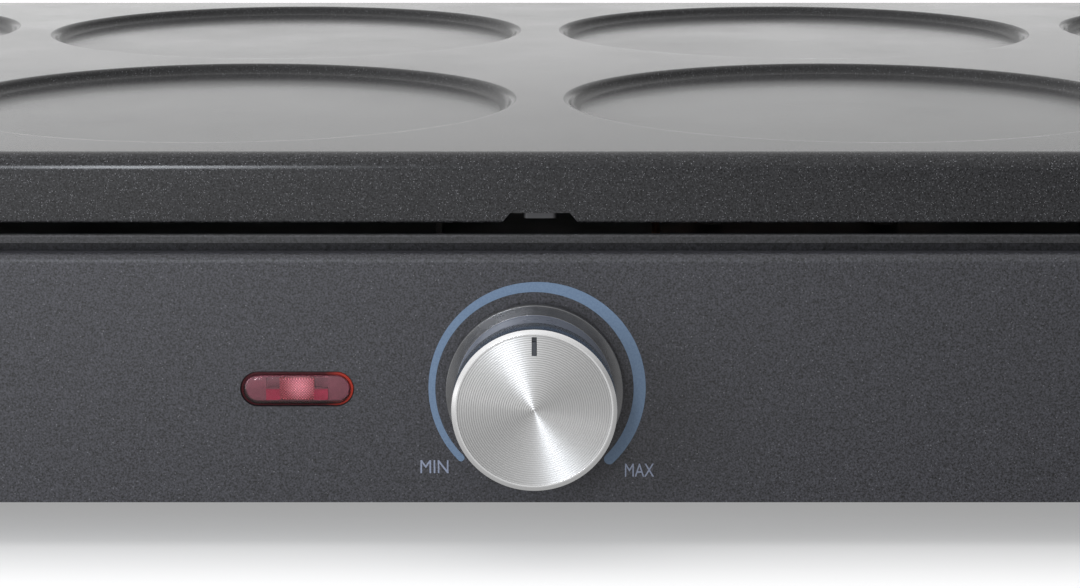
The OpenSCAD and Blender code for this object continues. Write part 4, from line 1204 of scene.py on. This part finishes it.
def prisms_rule():
    size = open_rule("Lens prisms", LENS)
    step = size["Pyramid Size"]
    pyramid = shape("MeshCone", {"Vertices": 4, "Radius Top": 0.0, "Radius Bottom": step * 0.48,
                                 "Depth": step * 0.35})
    rows = []
    for fewer in (0.0, 1.0):
        columns, lines = size["Pyramids X"] - fewer, size["Pyramids Y"] - fewer
        spots = grid((columns - 1.0) * step, (lines - 1.0) * step, columns, lines)
        rows.append(copies(spots, pyramid))
    base = block(size["Middle Width"], size["Middle Height"], 0.3 * MM, point(0.0, 0.0, -0.15 * MM))
    return close_rule(join(base, *rows), "lens_prisms_pink")


# %% Lens pieces
lens_back = grow(pads_rule(), "lens_back", "base", LENS, 30, lens_place)
lens_ribs = grow(ribs_rule(), "lens_ribs", "base", LENS, 30, lens_place)
lens_prisms = grow(prisms_rule(), "lens_prisms", "base", LENS, 20,
                   facing_front(lens_mid.x, lens_low.y + PRISM_BACK, lens_mid.z), recalc=False)
for part in (lens_cover, lens_back, lens_ribs, lens_prisms):
    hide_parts("pilot_lens")

# %% [markdown]
# ## The heating element
# One sheathed tube runs out along the front, back and forth under the recesses and home along
# the rear, and goes down through the tray at both ends. A tube that follows a path is what
# Curve to Mesh is for: the path is a row of corners, rounded, and a circle is swept along it.

# %% Element
element_low, element_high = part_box("heating_element")
ELEMENT = {"Tube Radius": 3.25 * MM, "Sides": 20}
FAR_RUN = 84 * MM  # of the outer runs, from the middle of the plate
NEAR_RUN = 42 * MM  # of the inner runs
TURN_BACK = 184.3 * MM  # middle of the bend that joins the inner runs
END_BEND = 10 * MM  # where the tube turns down through the tray
SLACK = 0.999  # keeps two neighbouring bends from touching


def element_rule():
    size = open_rule("Element", ELEMENT)
    tube = ELEMENT["Tube Radius"]
    left = element_low.x + tube
    right = element_high.x - tube
    top = element_high.z - tube
    bend = (FAR_RUN - NEAR_RUN) / 2
    half = [
        (right, FAR_RUN, element_low.z, 0.0),
        (right, FAR_RUN, top, END_BEND),
        (left, FAR_RUN, top, bend),
        (left, NEAR_RUN, top, bend),
        (TURN_BACK + NEAR_RUN, NEAR_RUN, top, NEAR_RUN),
    ]
    front = [(x, plate_mid.y - off, z, rounding * SLACK) for x, off, z, rounding in half]
    rear = [(x, plate_mid.y + off, z, rounding * SLACK) for x, off, z, rounding in reversed(half)]
    ring = shape("CurvePrimitiveCircle",
                 {"Resolution": size["Sides"], "Radius": size["Tube Radius"]}, mode="RADIUS")
    swept = shape("CurveToMesh", {
        "Curve": path(front + rear, 12), "Profile Curve": ring, "Fill Caps": True})
    return close_rule(swept, "element_sheath")


element_tube = grow(element_rule(), "element_tube", "base", ELEMENT, 40)
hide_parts("heating_element")

# %% [markdown]
# ## Screws
# The same few screws come again and again: in the feet, in the pillars, in the cover and in the
# handles. A screw is a low round head with a cross recess, so one rule turns the head, sinks the
# cross and copies it to every place. The places come from the solids, where each screw is a
# solid of its own, and the whole set is one mesh.

# %% Screw rule
def screw_rule(name, sizes, spots):
    size = open_rule(name, sizes)
    radius, head = size["Head Radius"], -size["Head Height"]
    shank, length = size["Shank Radius"], size["Length"]
    body = merge(turned(outline([
        (0.0, head, 0.0),
        (radius * 0.5, head, 0.0),
        (radius, head, 1.3 * MM),
        (radius, 0.0, 0.15 * MM),
        (shank, 0.0, 0.1 * MM),
        (shank, length, 0.4 * MM),
        (0.0, length, 0.0),
    ], 4), 6))
    reach, narrow = radius * 1.1, 0.9 * MM
    cross = [block(x, y, 1.3 * MM, point(0.0, 0.0, head))
             for x, y in ((reach, narrow), (narrow, reach))]
    body = carve(body, *cross)
    placed = [shape("Transform", {0: body, "Translation": spot, "Rotation": turn})
              for spot, turn in spots]
    return close_rule(join(*placed), "zinc_steel")


# %% Where the screws are
def solid_boxes(node):
    """Boxes of the separate solids in a node, as (low, high)."""
    bm = bmesh.new()
    bm.from_mesh(frame["nodes"][node].data)
    bmesh.ops.remove_doubles(bm, verts=bm.verts, dist=WELD)
    left, boxes = set(bm.verts), []
    while left:
        heap, found = [left.pop()], []
        while heap:
            vert = heap.pop()
            found.append(vert.co.copy())
            for edge in vert.link_edges:
                other = edge.other_vert(vert)
                if other in left:
                    left.discard(other)
                    heap.append(other)
        boxes.append((Vector([min(spot[i] for spot in found) for i in range(3)]),
                      Vector([max(spot[i] for spot in found) for i in range(3)])))
    bm.free()
    return sorted(boxes, key=lambda box: tuple(box[0]))


def screw_set(node, name, radius, head, shank):
    """Finer screws in place of a node's plain ones. A screw stands up, or points inwards."""
    spots = []
    for low, high in solid_boxes(node):
        middle, size = (low + high) / 2, high - low
        if size.z > size.x:
            spots.append(((middle.x, middle.y, low.z + head), (0.0, 0.0, 0.0)))
        else:
            side = 1 if middle.x > 0 else -1
            start = low.x if side > 0 else high.x
            spots.append(((start + side * head, middle.y, middle.z), (0.0, side * math.pi / 2, 0.0)))
        long = max(size.x, size.z)
    sizes = {"Head Radius": radius, "Head Height": head, "Shank Radius": shank, "Length": long - head}
    made = grow(screw_rule(name, sizes, spots), name, "base", sizes, 30)
    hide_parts(node)


for part in ("foot", "pillar"):
    screw_set(part + "_screws", part + "_screw_set", 3.8 * MM, 2.2 * MM, 2.0 * MM)
screw_set("cover_screws", "cover_screw_set", 3.0 * MM, 1.8 * MM, 1.5 * MM)
screw_set("handle_screws", "handle_screw_set", 3.8 * MM, 2.2 * MM, 2.0 * MM)

# %% [markdown]
# ## Finishes for the solids that stay
# Every other solid keeps its own mesh and takes the finish of its slot in the record.

# %% Assign finishes
slots = {part["node"]: part["material_slot"] for part in frame["record"]["subparts"]}
for node, solid in frame["nodes"].items():
    solid.data.materials.clear()
    solid.data.materials.append(FINISHES[slots[node]])
print("finishes:", len(FINISHES))

# %% [markdown]
# ## Floor
# The object stands on a pale floor. To the camera it glows a little, so that it stays pale right
# up to the case and keeps its soft shadow; the glow is weaker close to the case, which is a
# painted shadow. To everything else it throws more light on the left than on the right, and less
# from close by, which gives the panel its slow change from light to dark. Light Path tells the
# two apart.

# %% Floor finish
WHITE = (1.0, 1.0, 1.0, 1.0)
CASE_HALF = (0.262, 0.132)  # the glow starts to rise this far from the middle, in X and in Y


def floor_material():
    material = bpy.data.materials.new("studio_floor")
    material.use_nodes = True
    Bench.tree = material.node_tree
    Bench.tree.nodes.clear()
    diffuse = shade("BsdfDiffuse", {"Color": (0.48, 0.48, 0.48, 1.0)})
    x, y, _ = split(coordinates())
    ahead = calc("ABSOLUTE", y)
    off = calc("MAXIMUM", calc("ABSOLUTE", x) - CASE_HALF[0], ahead - CASE_HALF[1])
    # Painted shadow: the glow is dimmer next to the case and rises away from it.
    glow = shade("Emission", {"Color": WHITE, "Strength": fade(off, 0.0, 0.031, 0.33, 0.675)})
    seen = shade("AddShader", {0: diffuse, 1: glow})
    strength = fade(x, -0.20, 0.20, 1.26, 0.43) * fade(ahead, 0.15, 0.40, 0.45, 1.0)
    thrown = shade("Emission", {"Color": WHITE, "Strength": strength})
    eye = every("ShaderNodeLightPath")["Is Camera Ray"]
    both = shade("MixShader", {0: eye, 1: thrown, 2: seen})
    plug(add("ShaderNodeOutputMaterial").inputs["Surface"], both)
    return material


# %% Floor
REACH = 30.0
floor_mesh = bpy.data.meshes.new("studio_floor")
floor_mesh.from_pydata([(-REACH, -REACH, 0), (REACH, -REACH, 0), (REACH, REACH, 0),
                        (-REACH, REACH, 0)], [], [(0, 1, 2, 3)])
floor_mesh.materials.append(floor_material())
floor = put("studio_floor", floor_mesh)
floor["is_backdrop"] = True
print("floor, m:", 2 * REACH)

# %% [markdown]
# ## Room light
# The dark coatings are shown by what they mirror, so the room itself is the main light: it is
# brighter behind and above the object and on its left. Glossy surfaces also see a bright strip
# low on the backdrop, which fades out above the table and has a dim wall over it. It lightens
# the plate's top towards the rear, where the top is seen most nearly edge-on. Two soft lamps
# help from the front left. The narrow one also draws the bright wedge on the dial's cap. The
# wide one isn't mirrored, because the cap would get a second wedge from it.

# %% Room
def room_light():
    world = bpy.data.worlds.new("studio_room")
    bpy.context.scene.world = world
    world.use_nodes = True
    Bench.tree = world.node_tree
    Bench.tree.nodes.clear()
    x, y, z = split(every("ShaderNodeTexCoord")["Generated"])
    behind = fade(y, -0.3, 0.7, 0.0, 0.45)
    above = fade(z, 0.1, 0.9, 0.0, 0.45)
    aside = fade(x, -0.8, 0.8, 0.25, -0.25)
    strip = fade(z, 0.095, 0.122, 3.20, 0.11)
    table = fade(z, 0.02, 0.08, 0.15, 1.0)
    ray = every("ShaderNodeLightPath")
    backdrop = shade("Mix", {0: ray["Is Glossy Ray"], 2: behind * 0.5, 3: behind * (strip * table)})
    total = backdrop + above + aside + 0.55
    strength = shade("Mix", {0: ray["Is Camera Ray"], 2: total, 3: 1.0})
    room = shade("Background", {"Color": WHITE, "Strength": strength})
    plug(add("ShaderNodeOutputWorld").inputs["Surface"], room)


room_light()

# %% Lamps
LAMPS_AIM = Vector((0.0, -0.14, 0.03))


def soft_lamp(name, place, width, height, watts, colour):
    """Rectangular soft lamp that faces the middle of the front panel."""
    data = bpy.data.lights.new(name, "AREA")
    data.shape = "RECTANGLE"
    data.size = width
    data.size_y = height
    data.energy = watts
    data.color = colour
    lamp = put(name, data)
    lamp.location = place
    lamp.rotation_euler = (LAMPS_AIM - Vector(place)).to_track_quat("-Z", "Y").to_euler()
    print(f"{name}: {watts} W")
    return lamp


soft_lamp("key_box", (-0.24, -1.08, 0.31), 0.11, 0.30, 2.1, (0.90, 0.94, 1.0))
side_box = soft_lamp("side_box", (-0.55, -0.55, 0.18), 0.40, 0.35, 2.2, (0.88, 0.93, 1.0))
side_box.visible_glossy = False

# %% [markdown]
# ## Camera
# The camera stands low in front of the object and looks a little down. It is so close that only
# the middle of the panel, with its dial and lamp, and the four middle recesses fill the view.

# %% Camera
EYE_BACK = 603.0 * MM  # from the middle of the plate
EYE_HIGH = 145.7 * MM
LOOK_DOWN = 12.03  # degrees
eye = bpy.data.cameras.new("eye")
eye.sensor_width = 36.0
eye.lens = 87.7
eye.clip_start = 0.01
camera = put("eye", eye)
camera.location = (0.0, plate_mid.y - EYE_BACK, EYE_HIGH)
camera.rotation_euler = (math.radians(90 - LOOK_DOWN), 0.0, 0.0)
bpy.context.scene.camera = camera
bpy.context.scene.view_settings.view_transform = "Standard"
print("camera:", [round(part, 3) for part in camera.location])

# %% Finish
low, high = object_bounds()
print("size, mm:", [round(v / MM, 1) for v in high - low])
